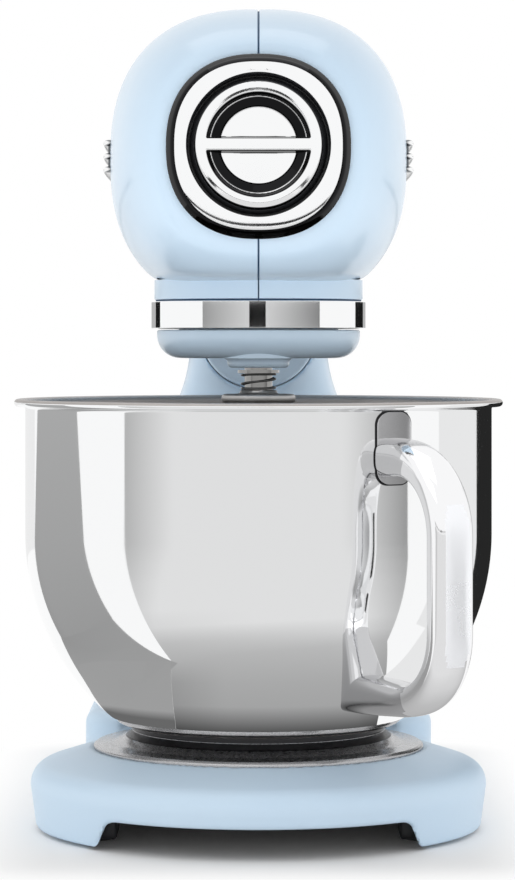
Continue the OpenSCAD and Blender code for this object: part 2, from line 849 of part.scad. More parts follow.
// Rotating hub: rounded skirt, neck inside the band, and the boss of the beater's shaft.
module planet_carrier() {
  color(body_blue)
    place()
      difference() {
        union() {
          rotate_extrude()
            union() {
              square_from(0, hub_bottom_z, hub_r - hub_edge_r, hub_top_z);
              square_from(0, hub_bottom_z + hub_edge_r, hub_r, hub_top_z);
              intersection() {
                translate([hub_r - hub_edge_r, hub_bottom_z + hub_edge_r])
                  circle(r = hub_edge_r);
                square_from(hub_r - hub_edge_r - 1, hub_bottom_z, hub_r + 1, hub_bottom_z + hub_edge_r);
              }
            }
          translate([0, 0, hub_top_z - eps])
            cylinder(r = 36.2, h = 9.5);
          translate([0, -planet_offset, boss_bottom_z])
            rotate_extrude()
              union() {
                square_from(0, 0, boss_r - 2, 4.3);
                square_from(0, 2, boss_r, 4.3);
                translate([boss_r - 2, 2])
                  circle(r = 2 - eps);
              }
        }
        translate([0, 0, hub_bottom_z + 2])
          cylinder(r = center_shaft_r, h = 40);
        translate([0, -planet_offset, boss_bottom_z - 1])
          cylinder(r = tool_shaft_r + 0.5, h = 40);
        translate([0, -planet_offset, hub_bottom_z + 1.2])
          cylinder(r = 10.5, h = 6);
        translate([0, -planet_offset, hub_top_z + 3.5])
          cylinder(r = 10.5, h = 6);
      }
}

// Square between two corners, in the drawing plane.
module square_from(x0, y0, x1, y1) {
  translate([x0, y0])
    square([x1 - x0, y1 - y0]);
}

// Centre shaft with the bevel gear of the front outlet.
module center_shaft() {
  color(steel)
    place() {
      translate([0, 0, hub_bottom_z + 2])
        cylinder(r = center_shaft_r, h = bridge_z + bridge_t + 2 - hub_bottom_z - 2);
      translate([0, 0, badge_z])
        bevel(bevel_teeth, bevel_module, 7, -90);
      translate([0, 0, badge_z - bevel_pitch_r - 5])
        cylinder(r = 10, h = 5 + eps);
    }
}

module center_gear() {
  color("#e4dfd2")
    place()
      difference() {
        union() {
          translate([0, 0, frame_top_z + 4])
            gear(center_teeth, reduction_module, 9, 90);
          translate([0, 0, frame_top_z + 0.5])
            cylinder(r = 12, h = 17);
        }
        translate([0, 0, frame_top_z - 1])
          cylinder(r = center_shaft_r, h = 30);
        for (a = [0:60:300])
          rotate([0, 0, a + 30])
            translate([22, 0, frame_top_z])
              cylinder(r = 6, h = 20);
      }
}

module planet_bearings() {
  color(steel)
    place()
      translate([0, -planet_offset, 0]) {
        tube(10.5, tool_shaft_r + running_clearance, hub_bottom_z + 1.2, hub_bottom_z + 7.2);
        tube(10.5, tool_shaft_r + running_clearance, hub_top_z + 3.5, hub_top_z + 9.5);
      }
}

module planet_pinion() {
  color(steel)
    place()
      translate([0, -planet_offset, ring_bottom_z + 2])
        difference() {
          gear(planet_teeth, planet_module, 8, -90);
          translate([0, 0, -1])
            cylinder(r = tool_shaft_r, h = 12);
        }
}

// Beater's shaft with its cross pin.
module tool_shaft() {
  color(steel)
    place()
      translate([0, -planet_offset, 0]) {
        translate([0, 0, 174])
          cylinder(r = tool_shaft_r, h = inner_floor_z - 1 - 174);
        translate([-tool_tube_r + 0.4, 0, drive_pin_z])
          rotate([0, 90, 0])
            cylinder(r = drive_pin_r, h = 2 * tool_tube_r - 0.8);
      }
}

module shaft_washer() {
  color(steel)
    place()
      translate([0, -planet_offset, 0])
        tube(9.3, tool_shaft_r, 205.2, 206.6);
}

// Round wire wound into a spring between two heights.
module coil(r, wire, z0, z1, coils, steps) {
  n = 8;
  total = ceil(coils * steps);
  loft([
    for (i = [0:total])
      let(
        a = 360 * coils * i / total,
        z = z0 + wire + (z1 - z0 - 2 * wire) * i / total
      )
      [for (j = [0:n - 1])
        let(q = 360 * j / n)
        [(r + wire * cos(q)) * cos(a), (r + wire * cos(q)) * sin(a), z - wire * sin(q)]]
  ]);
}

module tool_spring() {
  color(steel)
    place()
      translate([0, -planet_offset, 0])
        mirror([0, 1, 0])
          coil(7.4, 0.55, tool_collar_z + 0.05, 205.15, tool_spring_coils, 24);
}

// Outline of the flat beater, its widths hand-set to follow the bowl.
module beater_outline() {
  k = beater_half_w / 52;
  right = [[0, 0], [15, 0.3], [22, 4], [30, 14], [38, 27], [45, 41], [50, 56], [52, 70],
    [51, 84], [46, 97], [37, 108], [24, 116], [8, 121]];
  translate([0, beater_bottom_z])
    offset(r = 4, $fn = 48)
      offset(delta = -4)
        polygon(concat(
          [for (p = right) [p[0] * k, p[1]]],
          [for (i = [len(right) - 1:-1:1]) [-right[i][0] * k, right[i][1]]]
        ));
}

module flat_beater() {
  color(aluminium)
    place()
      translate([0, -planet_offset, 0])
        difference() {
          union() {
            translate([0, beater_t / 2, 0])
              rotate([90, 0, 0])
                linear_extrude(height = beater_t)
                  difference() {
                    beater_outline();
                    offset(r = 3, $fn = 48)
                      offset(delta = -3)
                        difference() {
                          offset(delta = -beater_rib)
                            beater_outline();
                          translate([-beater_rib / 2, 0])
                            square([beater_rib, 200]);
                          translate([-70, 88])
                            square([140, beater_rib * 0.8]);
                          translate([-70, 144])
                            square([140, beater_rib * 0.8]);
                        }
                  }
            translate([0, 0, 160])
              cylinder(r = tool_tube_r, h = tool_collar_z - 160);
            translate([0, 0, tool_disc_z - tool_disc_t])
              rotate_extrude()
                union() {
                  square_from(0, 0, tool_disc_r - 1, tool_disc_t);
                  square_from(0, 1, tool_disc_r, tool_disc_t - 1);
                  translate([tool_disc_r - 1, 1])
                    circle(r = 1 - eps);
                  translate([tool_disc_r - 1, tool_disc_t - 1])
                    circle(r = 1 - eps);
                }
          }
          translate([0, 0, 169])
            cylinder(r = tool_shaft_r + tool_clearance, h = 40);
          translate([-10, -drive_pin_r - 0.2, drive_pin_z - 6.2])
            cube([20, 2 * drive_pin_r + 0.4, 8.4]);
          rotate([0, 0, 40])
            translate([-20, -drive_pin_r - 0.2, drive_pin_z - 6.2])
              cube([40, 2 * drive_pin_r + 0.4, 40]);
        }
}

// ---- motor and electrics

module motor_housing() {
  color("#8d9196")
    place()
      translate([0, motor_y, 0])
        difference() {
          union() {
            tube(motor_r, motor_r - 2.5, frame_top_z, motor_top_z);
            translate([0, 0, frame_top_z])
              cylinder(r = motor_r - 2, h = 1.5);
            translate([0, 0, frame_top_z])
              cylinder(r = 11, h = 7);
          }
          translate([0, 0, frame_top_z + 1.5])
            cylinder(r = 9, h = 10);
          for (a = [0:45:315])
            rotate([0, 0, a + 22.5])
              translate([motor_r - 5, -3, frame_top_z + 60])
                cube([10, 6, 12]);
        }
}

module motor_end_cap() {
  color(aluminium)
    place()
      translate([0, motor_y, 0])
        difference() {
          union() {
            translate([0, 0, motor_top_z])
              cylinder(r = motor_r, h = 3);
            translate([0, 0, motor_top_z + 3 - eps])
              cylinder(r = 12, h = 3);
          }
          translate([0, 0, motor_top_z - 1])
            cylinder(r = 9, h = 10);
          for (a = [0:45:315])
            rotate([0, 0, a])
              translate([21, 0, motor_top_z - 1])
                cylinder(r = 3.5, h = 6);
        }
}

module stator() {
  color("#5b5e63")
    place()
      translate([0, motor_y, frame_top_z + 20])
        difference() {
          cylinder(r = motor_r - 2.5, h = 34);
          translate([0, 0, -1])
            cylinder(r = armature_r + 0.5, h = 36);
          for (a = [0:60:300])
            rotate([0, 0, a])
              translate([armature_r - 1, -2, -1])
                cube([6, 4, 36]);
        }
}

module stator_windings() {
  color(copper)
    place()
      translate([0, motor_y, 0])
        for (z = [frame_top_z + 15.5, frame_top_z + 58.5])
          translate([0, 0, z])
            rotate_extrude()
              translate([armature_r + 5, 0])
                circle(r = 3.6);
}

module motor_brushes() {
  color("#3a3836")
    place()
      for (s = [-1, 1])
        translate([s * 18.3 - 7, motor_y - 2.5, frame_top_z + 9.2])
          cube([14, 5, 2.6]);
}

module motor_bearings() {
  color(steel)
    place()
      translate([0, motor_y, 0]) {
        tube(9, motor_shaft_r + running_clearance, frame_top_z + 1.5, frame_top_z + 6.5);
        tube(9, motor_shaft_r + running_clearance, motor_top_z, motor_top_z + 5);
      }
}

// Shaft, armature, commutator and fan, turning together.
module motor_rotor() {
  color("#7b7f84")
    place()
      translate([0, motor_y, 0]) {
        translate([0, 0, frame_top_z + 2])
          cylinder(r = motor_shaft_r, h = belt_z + belt_h + 2 - frame_top_z - 2);
        translate([0, 0, frame_top_z + 20])
          difference() {
            cylinder(r = armature_r, h = 34);
            for (a = [0:30:330])
              rotate([0, 0, a])
                translate([armature_r - 3, -0.8, -1])
                  cube([5, 1.6, 36]);
          }
        translate([0, 0, frame_top_z + 8])
          cylinder(r = 11, h = 8);
        translate([0, 0, motor_top_z - 11])
          cylinder(r = 26, h = 1.2);
        for (a = [0:40:320])
          rotate([0, 0, a])
            translate([8, -0.6, motor_top_z - 11])
              cube([17, 1.2, 8]);
        translate([0, 0, motor_top_z - 11])
          cylinder(r = 9, h = 8);
      }
}

// Flanged pulley about the origin, resting on z = 0.
module pulley(r, bore) {
  difference() {
    union() {
      cylinder(r = r, h = belt_h);
      cylinder(r = r + 2.5, h = 0.8);
      translate([0, 0, belt_h + 0.2])
        cylinder(r = r + 2.5, h = 0.8);
      cylinder(r = r - 1, h = belt_h + 1);
    }
    translate([0, 0, -1])
      cylinder(r = bore, h = belt_h + 4);
  }
}

module motor_pulley() {
  color("#8d9196")
    place()
      translate([0, motor_y, belt_z])
        pulley(motor_pulley_r, motor_shaft_r);
}

// Countershaft with its pinion and the large belt pulley.
module countershaft() {
  color("#9aa0a6")
    place()
      translate([0, counter_y, 0]) {
        translate([0, 0, inner_floor_z])
          cylinder(r = counter_shaft_r, h = belt_z + belt_h + 2 - inner_floor_z);
        translate([0, 0, frame_top_z + 3])
          gear(counter_teeth, reduction_module, 11, -90 + 180 / counter_teeth);
        translate([0, 0, belt_z])
          difference() {
            pulley(belt_pulley_r, counter_shaft_r - 1);
            for (a = [0:60:300])
              rotate([0, 0, a])
                translate([15.5, 0, -1])
                  cylinder(r = 5, h = 14);
          }
      }
}

// Belt loop round both pulleys, drawn 0.1 clear of them.
module drive_belt() {
  color("#33343a")
    place()
      translate([0, 0, belt_z + 1.1])
        linear_extrude(height = belt_h - 1.2)
          difference() {
            belt_loop(belt_t + 0.1);
            belt_loop(0.1);
          }
}

module belt_loop(grow) {
  hull() {
    translate([0, counter_y])
      circle(r = belt_pulley_r + grow, $fn = 72);
    translate([0, motor_y])
      circle(r = motor_pulley_r + grow, $fn = 72);
  }
}

// Outlet shaft toward the front with its bevel gear and a square socket.
module outlet_shaft() {
  color(steel)
    place()
      translate([0, 0, badge_z])
        rotate([90, 0, 0]) {
          mirror([0, 0, 1])
            bevel(bevel_teeth, bevel_module, 7, -90 + 180 / bevel_teeth);
          translate([0, 0, bevel_pitch_r - 1.2])
            cylinder(r = counter_shaft_r, h = 50);
          translate([0, 0, bevel_pitch_r - eps])
            cylinder(r = 11, h = 6);
          difference() {
            translate([0, 0, 63])
              cylinder(r = 9, h = 16);
            translate([-4.8, -4.8, 66])
              cube([9.6, 9.6, 20]);
          }
        }
}

module control_board() {
  color("#2f6b46")
    place() {
      translate([-25, 142, board_z])
        cube([50, 52, 1.6]);
      translate([-20, 160, board_z + 1.6])
        cube([18, 16, 15]);
      translate([12, 168, board_z + 1.6])
        cylinder(r = 7, h = 20);
      translate([4, 148, board_z + 1.6])
        cube([14, 8, 9]);
    }
}

// Slide switch under the lever on two legs, with a groove for the lever's blade.
module speed_switch() {
  color(black)
    place()
      difference() {
        union() {
          translate([-10, lever_y - 12, switch_top_z - 11])
            cube([20, lever_travel + 24, 11]);
          translate([-23, 115, switch_top_z - 11])
            cube([46, 6, 3]);
          for (s = [-1, 1])
            translate([s * 20, 118, motor_top_z + 3])
              cylinder(r = 3, h = switch_top_z - 11 - motor_top_z - 3 + eps);
        }
        translate([-2, lever_y - 6, switch_top_z - 8])
          cube([4, lever_travel + 12, 10]);
      }
}

module speed_scale() {
  color(chrome)
    place()
      difference() {
        translate([-scale_half_w, lever_y - 13, scale_floor_z])
          cube([2 * scale_half_w, lever_travel + 26, scale_top_z - scale_floor_z]);
        translate([-lever_slot_half, lever_y - 7, scale_floor_z - 1])
          cube([2 * lever_slot_half, lever_travel + 14, 5]);
      }
}

module speed_lever() {
  color(chrome)
    place()
      translate([0, lever_y, 0]) {
        translate([0, 0, scale_top_z + 0.4])
          linear_extrude(height = lever_top_z - scale_top_z - 0.4)
            hull() {
              translate([-6, 0])
                circle(r = 5.5, $fn = 32);
              translate([6, 0])
                circle(r = 5.5, $fn = 32);
            }
        translate([-2.5, -4, 366])
          cube([5, 8, scale_top_z + 0.5 - 366]);
        translate([-7, -5, 363])
          cube([14, 10, 3.5]);
        translate([-1.5, -4, switch_top_z - 6])
          cube([3, 8, 10]);
      }
}

// ---- badge

// Square-round outline.
function squircle(r, n, count) =
  [for (i = [0:count - 1])
    let(t = 360 * i / count)
    [r * spow(cos(t), 2 / n), r * spow(sin(t), 2 / n)]];

// Badge frame with a round opening and a rear tube into the nose.
module front_bezel() {
  layers = [[0, badge_half - 0.8], [1, badge_half], [badge_depth - 3.5, badge_half],
    [badge_depth - 1.2, badge_half - 1.4], [badge_depth, badge_half - 4.5]];
  color(chrome)
    place()
      translate([0, nose_face_y, badge_z])
        rotate([90, 0, 0])
          difference() {
            union() {
              loft([for (l = layers) [for (p = squircle(l[1], badge_roundness, 80)) [p[0], p[1], l[0]]]]);
              translate([0, 0, -12])
                cylinder(r = 21, h = 13);
            }
            translate([0, 0, 2])
              cylinder(r = cover_r + 0.5, h = 20);
            translate([0, 0, -20])
              cylinder(r = 17.8, h = 40);
          }
}

// Removable round cover: raised ring, dished well with a bar, and a rear spigot.
module outlet_cover() {
  color(chrome)
    place()
      translate([0, nose_face_y, badge_z])
        rotate([90, 0, 0])
          difference() {
            union() {
              translate([0, 0, 2.1])
                cylinder(r = cover_r, h = 6);
              tube(17.4, 15, -5, 2.2);
              difference() {
                translate([0, 0, 8])
                  cylinder(r1 = cover_ring_r + 0.8, r2 = cover_ring_r - 0.6, h = 2.6);
                translate([0, 0, 7])
                  cylinder(r = cover_well_r, h = 6);
              }
              translate([-cover_well_r - 1, 1.6 - cover_bar_h / 2, 4])
                cube([2 * cover_well_r + 2, cover_bar_h, 5.2]);
            }
            for (s = [-1, 1])
              intersection() {
                translate([0, 0, 4.6])
                  cylinder(r1 = cover_floor_r, r2 = cover_well_r, h = 3.6);
                translate([-30, s > 0 ? 1.6 + cover_bar_h / 2 : -60 + 1.6 - cover_bar_h / 2, 0])
                  cube([60, 60, 20]);
              }
            translate([0, 0, -6])
              cylinder(r = 15, h = 8);
          }
}

// ---- bowl

// Outline of the bowl's outside as a filled half section.
module bowl_half_outline() {
  union() {
    square_from(0, bowl_curve_z - eps, bowl_wall_r, bowl_wall_top_z);
    intersection() {
      translate([bowl_wall_r - bowl_curve_r, bowl_curve_z])
        circle(r = bowl_curve_r);
      square_from(0, bowl_crease_z - 0.2, bowl_wall_r + 5, bowl_curve_z);
    }
  }
}

module bowl() {
  color(chrome)
    place()
      rotate_extrude()
        union() {
          square_from(bowl_wall_r - bowl_sheet, bowl_curve_z, bowl_wall_r, bowl_wall_top_z);
          intersection() {
            translate([bowl_wall_r - bowl_curve_r, bowl_curve_z])
              difference() {
                circle(r = bowl_curve_r);
                circle(r = bowl_curve_r - bowl_sheet);
              }
            square_from(bowl_crease_r - 0.6, bowl_crease_z - 1.7, bowl_wall_r + 5, bowl_curve_z);
          }
          polygon([[foot_waist_r - 1, bowl_floor_z], [foot_waist_r, bowl_floor_z],
            [bowl_crease_r, bowl_crease_z - 0.25], [bowl_crease_r + 0.6, bowl_crease_z + 1.5],
            [bowl_crease_r - 0.9, bowl_crease_z + 1.05],
            [foot_waist_r - 1, bowl_floor_z + bowl_sheet]]);
          square_from(0, bowl_floor_z, foot_waist_r - 0.9, bowl_floor_z + bowl_sheet);
          polygon([[bowl_wall_r - bowl_sheet, bowl_wall_top_z - 0.1], [bowl_wall_r, bowl_wall_top_z - 0.1],
            [bowl_rim_r - bowl_bead_r + 0.4, bowl_rim_z - 1.2], [bowl_rim_r - bowl_bead_r - 1, bowl_rim_z]]);
          translate([bowl_rim_r - bowl_bead_r, bowl_rim_z])
            circle(r = bowl_bead_r);
        }
}

// Flared foot under the bowl with three inner lugs of the twist lock.
module bowl_foot() {
  color(chrome)
    place() {
      rotate_extrude()
        polygon([[foot_waist_r, bowl_floor_z], [foot_waist_r, 44.5], [foot_waist_r + 1.2, 42.4], [60.5, 40.7],
          [66, 38.9], [foot_flange_r - 1, 38.3], [foot_flange_r, 37.5], [foot_flange_r, foot_bottom_z],
          [foot_flange_r - 1.6, foot_bottom_z], [foot_flange_r - 1.6, 37], [66, 37.6], [59.8, 39.5],
          [56.8, 42.2], [foot_waist_r - 1.2, 44.3], [foot_waist_r - 1.2, bowl_floor_z]]);
      for (k = [0:2])
        rotate([0, 0, 120 * k - 12 + 90])
          rotate_extrude(angle = 24)
            polygon([[51.6, 36.1], [60, 36.1], [66, 36.4], [66, 37.8], [60, 40.2], [59.4, 37.9], [51.6, 37.9]]);
    }
}

// Half-thickness of the handle along its path: arms are deeper than the grip.
function handle_half_t(k) = (arm_t + (grip_t - arm_t) * sin(180 * min(1, max(0, k))) ^ 0.7) / 2;

// One ring of the handle: place, direction of the path and section.
function handle_ring(r, z, dir, ht) =
  [for (j = [0:27])
    let(
      t = 360 * j / 28,
      a = ht * spow(cos(t), 2 / 3.2),
      b = handle_w / 2 * spow(sin(t), 2 / 3.2)
    )
    [r + a * sin(dir), b, z - a * cos(dir)]];

module handle_loft() {
  ru = grip_r - upper_bend_r;
  rl = grip_r - lower_bend_r;
  zu = upper_arm_z - upper_bend_r;
  zl = lower_arm_z + lower_bend_r;
  n = 10;
  path = concat(
    [[bowl_wall_r - 3, upper_arm_z, 0]],
    [for (i = [0:n]) let(a = 90 - 90 * i / n)
      [ru + upper_bend_r * cos(a), zu + upper_bend_r * sin(a), a - 90]],
    [for (i = [0:n]) let(a = -90 * i / n)
      [rl + lower_bend_r * cos(a), zl + lower_bend_r * sin(a), a - 90]],
    [[76, lower_arm_z, -180]]
  );
  last = len(path) - 1;
  loft([for (i = [0:last]) handle_ring(path[i][0], path[i][1], path[i][2], handle_half_t(i / last))]);
}

module bowl_handle() {
  color(chrome)
    place()
      rotate([0, 0, handle_turn - 90])
        difference() {
          handle_loft();
          rotate_extrude()
            bowl_half_outline();
          translate([0, 0, upper_arm_z - 20])
            cylinder(r = bowl_wall_r + 1.2, h = 40);
        }
}

// Rounded plate welded between the bowl's wall and the handle.
module handle_plate() {
  color(chrome)
    place()
      rotate([0, 0, handle_turn - 90])
        intersection() {
          tube(bowl_wall_r + 1.2, bowl_wall_r, 150, 185.9);
          translate([80, 0, 0])
            rotate([90, 0, 90])
              linear_extrude(height = 40)
                union() {
                  square_from(-8, upper_arm_z - 5, 8, 178);
                  translate([0, upper_arm_z - 5])
                    circle(r = 8);
                  translate([0, 178])
                    circle(r = 8);
                }
        }
}

// ---- base and column

// Half section of the base's round front.
module base_half_outline() {
  polygon(concat(
    [[0, base_lift], [base_r - base_draft, base_lift]],
    [for (a = [0:6:72])
      [base_r - base_edge_r * (1 - cos(a)), base_shoulder_z + base_edge_r * sin(a)]],
    [[seat_r, base_top_z], [0, base_top_z]]
  ));
}

// Ring of the rear block at height z, drawn in by d.
function block_ring(z, d) =
  let(n = 9, w = block_half_w - d, y0 = 46 + d, y1 = block_rear_y - d, rr = block_corner_r - d, rf = 22 - min(d, 20))
  concat(
    [for (i = [0:n]) let(a = -90 + 90 * i / n) [w - rf + rf * cos(a), y0 + rf + rf * sin(a), z]],
    [for (i = [0:n]) let(a = 90 * i / n) [w - rr + rr * cos(a), y1 - rr + rr * sin(a), z]],
    [for (i = [0:n]) let(a = 90 + 90 * i / n) [-w + rr + rr * cos(a), y1 - rr + rr * sin(a), z]],
    [for (i = [0:n]) let(a = 180 + 90 * i / n) [-w + rf + rf * cos(a), y0 + rf + rf * sin(a), z]]
  );

module block_outside() {
  loft(concat(
    [block_ring(base_lift, 1.2), block_ring(base_shoulder_z, 0)],
    [for (a = [0:15:90])
      block_ring(block_top_z - block_edge_r + block_edge_r * sin(a), block_edge_r * (1 - cos(a)))]
  ));
}

module base_casting() {
  color(body_blue)
    place()
      difference() {
        union() {
          rotate_extrude()
            base_half_outline();
          difference() {
            block_outside();
            translate([0, 0, base_shoulder_z + 2])
              cylinder(r = 80, h = 60);
          }
        }
        difference() {
          union() {
            rotate_extrude()
              polygon([[0, -1], [base_r - base_draft - base_wall, -1], [base_r - base_wall, base_shoulder_z],
                [base_r - base_wall - 9, 27], [0, 27]]);
            intersection() {
              loft([block_ring(-1, base_wall), block_ring(block_top_z - base_wall, base_wall)]);
              union() {
                translate([-100, 88, -2])
                  cube([200, 200, 100]);
                translate([-100, 30, -2])
                  cube([200, 60, 29]);
              }
            }
          }
          at_spots(plate_screw_spots, cover_plate_z + 2)
            cylinder(r = 5, h = 40);
        }
        translate([0, 0, foot_bottom_z])
          cylinder(r = seat_r, h = 10);
        translate([0, 0, lock_floor_z])
          cylinder(r = 53, h = 10);
        base_arch();
        at_spots(column_bolt_spots, 30)
          cylinder(r = 4.2, h = 30);
        at_spots(plate_screw_spots, cover_plate_z)
          cylinder(r = 1.5, h = 14);
        for (a = [30, 150, 270])
          rotate([0, 0, a])
            translate([42, 0, 20])
              cylinder(r = 2, h = 20);
        translate([40, block_rear_y + 5, gland_z])
          rotate([90, 0, 0])
            cylinder(r = 6.2, h = 20);
      }
}

// Arch between the front feet, cut through the front wall.
module base_arch() {
  side = concat([[arch_half_w + 4, -1]],
    [for (a = [0:15:90]) [arch_half_w - 4 + 4 * cos(a), arch_h - 4 + 4 * sin(a)]]);
  translate([0, -52, 0])
    rotate([90, 0, 0])
      linear_extrude(height = 70)
        polygon(concat(side, [for (i = [len(side) - 1:-1:0]) [-side[i][0], side[i][1]]]));
}

module base_plate() {
  color(black)
    place()
      translate([0, 0, cover_plate_z])
        difference() {
          linear_extrude(height = 2)
            union() {
              circle(r = base_r - base_wall - 2.6);
              translate([-block_half_w + base_wall + 2.5, 60])
                square([2 * (block_half_w - base_wall - 2.5), block_rear_y - 105]);
              translate([-block_half_w + base_wall + 34, 120])
                square([2 * (block_half_w - base_wall - 34), block_rear_y - 120 - base_wall - 1]);
              for (s = [-1, 1])
                translate([s * (block_half_w - block_corner_r - 1), block_rear_y - block_corner_r])
                  circle(r = block_corner_r - base_wall - 1.5);
            }
          at_spots(plate_screw_spots, -1)
            cylinder(r = 1.7, h = 4);
          at_spots(foot_spots, -1)
            cylinder(r = 3, h = 4);
        }
}

module rubber_feet() {
  color("#3b3c3e")
    place()
      at_spots(foot_spots, 0) {
        cylinder(r1 = rubber_r - 1.2, r2 = rubber_r, h = 1.2 + eps);
        translate([0, 0, 1.2])
          cylinder(r = rubber_r, h = cover_plate_z - 1.2);
        translate([0, 0, cover_plate_z - eps])
          cylinder(r = 3, h = 2 + 2 * eps);
        translate([0, 0, cover_plate_z + 2])
          cylinder(r1 = 4.6, r2 = 3, h = 2.5);
      }
}

module base_screws() {
  color(steel)
    place()
      at_spots(plate_screw_spots, 0)
        screw(3.4, 2.2, 1.5, cover_plate_z - 2.2, cover_plate_z + 13);
}

// Column's outside, or its inside when drawn in by d.
module column_loft(d, z_low, z_high) {
  n = 56;
  rows = [for (s = column_sections) if (s[0] <= z_high) s];
  rings = [
    for (s = rows)
      let(w = s[1] - d, c = (s[2] + s[3]) / 2, h = (s[3] - s[2]) / 2 - d)
      [for (j = [0:n - 1])
        let(t = 360 * j / n)
        [w * spow(cos(t), 2 / column_roundness), c + h * spow(sin(t), 2 / column_roundness), max(s[0], z_low)]]
  ];
  first = [for (p = rings[0]) [p[0], p[1], z_low]];
  loft(d > 0 ? concat([first], rings) : rings);
}

module column_shell() {
  color(body_blue)
    place()
      difference() {
        column_loft(0, block_top_z, 400);
        difference() {
          column_loft(column_wall, block_top_z - 2, 186);
          at_spots(column_bolt_spots, block_top_z - 5)
            cylinder(r = 8, h = 30);
          translate([0, 230, button_z])
            rotate([90, 0, 0])
              cylinder(r = button_r + 3.5, h = 42);
        }
        translate([0, 260, pivot_z])
          rotate([90, 0, 0])
            linear_extrude(height = 200)
              union() {
                circle(r = slot_r);
                translate([-slot_r, 0])
                  square([2 * slot_r, 60]);
              }
        translate([-50, pivot_y, pivot_z])
          rotate([0, 90, 0])
            cylinder(r = hinge_pin_r, h = 100);
        for (s = [-1, 1])
          translate([s * 32.4, pivot_y, pivot_z])
            rotate([0, s * 90, 0])
              cylinder(r = 8, h = 10);
        difference() {
          translate([-50, pivot_y, pivot_z])
            cube([100, 60, 60]);
          translate([-60, pivot_y, pivot_z])
            rotate([0, 90, 0])
              cylinder(r = fork_round_r, h = 120);
        }
        at_spots(column_bolt_spots, block_top_z - 5)
          cylinder(r = 3.4, h = 27);
        translate([0, 240, button_z])
          rotate([90, 0, 0])
            cylinder(r = button_r + 0.3, h = 47);
        translate([0, 240, button_z])
          rotate([90, 0, 0])
            cylinder(r = 3.4, h = 60);
      }
}

module column_bolts() {
  color(steel)
    place()
      at_spots(column_bolt_spots, 0)
        screw(6.5, 5.2, 3.4, block_top_z - base_wall - 5.2, block_top_z + 19);
}

module hinge_pin() {
  color(steel)
    place()
      translate([-32.3, pivot_y, pivot_z])
        rotate([0, 90, 0])
          cylinder(r = hinge_pin_r, h = 64.6);
}

module pin_caps() {
  color(body_blue)
    place()
      for (s = [-1, 1])
        translate([s * 32.4, pivot_y, pivot_z])
          rotate([0, s * 90, 0])
            cylinder(r1 = 7.9, r2 = 7.4, h = 1.6);
}

// Twist-lock plate in the base: a disc with three tabs over the bowl's lugs.
module bowl_lock_plate() {
  color("#4a4c4f")
    place()
      difference() {
        union() {
          translate([0, 0, lock_floor_z])
            cylinder(r = 50.8, h = 41.4 - lock_floor_z);
          translate([0, 0, 38.4])
            intersection() {
              cylinder(r = 55, h = 2.6);
              for (k = [0:2])
                rotate([0, 0, 120 * k + 90])
                  linear_extrude(height = 2.6)
                    polygon([[0, 0], [60, -13.85], [60, 13.85]]);
            }
        }
        translate([0, 0, lock_floor_z + 4])
          cylinder(r = 36, h = 20);
        for (a = [30, 150, 270])
          rotate([0, 0, a])
            translate([42, 0, lock_floor_z - 1])
              cylinder(r = 2, h = 20);
      }
}

module lock_plate_screws() {
  color(steel)
    place()
      for (a = [30, 150, 270])
        rotate([0, 0, a])
          translate([42, 0, 0]) {
            translate([0, 0, 22])
              cylinder(r = 2, h = 19.4 + eps);
            translate([0, 0, 41.4])
              difference() {
                cylinder(r = 3.6, h = 1.6);
                translate([0, 0, 0.8])
                  cylinder(r = 1.8, h = 2, $fn = 6);
              }
          }
}

module cable_gland() {
  color(black)
    place()
      translate([40, block_rear_y, gland_z])
        rotate([90, 0, 0])
          difference() {
            union() {
              translate([0, 0, -2])
                cylinder(r = 9, h = 2);
              cylinder(r = 6.1, h = 12);
            }
            translate([0, 0, -5])
              cylinder(r = 3.6, h = 14);
          }
}

// Release button on the column's back with its guide stem.
module release_button() {
  color("#5b5e63")
    place()
      translate([0, 214.5, button_z])
        rotate([90, 0, 0]) {
          cylinder(r1 = button_r - 0.8, r2 = button_r, h = 0.8 + eps);
          translate([0, 0, 0.8])
            cylinder(r = button_r, h = 10);
          translate([0, 0, 10])
            cylinder(r = 3, h = 26);
        }
}

module release_spring() {
  color(steel)
    place()
      translate([0, 193.1, button_z])
        rotate([-90, 0, 0])
          coil(5.2, 0.6, 0.05, 10.5, 4, 20);
}

base_casting();
base_plate();
rubber_feet();
base_screws();
column_shell();
column_bolts();
hinge_pin();
pin_caps();
bowl_lock_plate();
lock_plate_screws();
cable_gland();
release_button();
release_spring();
bowl();
bowl_foot();
bowl_handle();
handle_plate();
head_shell_left();
head_shell_right();
head_frame();
hinge_tongue();
tongue_bolts();
hinge_bushes();
shell_screws();
neck_band();
ring_gear();
ring_gear_screws();
gearbox_bridge();
bridge_screws();
center_bearings();
countershaft_bearings();
outlet_bush();
motor_housing();
motor_end_cap();
stator();
stator_windings();
motor_brushes();
motor_bearings();
drive_belt();
control_board();
speed_switch();
speed_scale();
side_trim_left();
side_trim_right();
front_bezel();
outlet_cover();
planet_carrier();
center_shaft();
center_gear();
planet_bearings();
planet_pinion();
tool_shaft();
shaft_washer();
tool_spring();
flat_beater();
motor_rotor();
motor_pulley();
countershaft();
outlet_shaft();
speed_lever();
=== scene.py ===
"""Looks of a tilt-head stand mixer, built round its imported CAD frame.

Lengths are in millimetres from the bowl's upright axis until mesh() turns them into metres in the
frame. Shapes follow the CAD nodes' boxes, and each piece rides on the body of the node it stands for.
"""

import json
import math

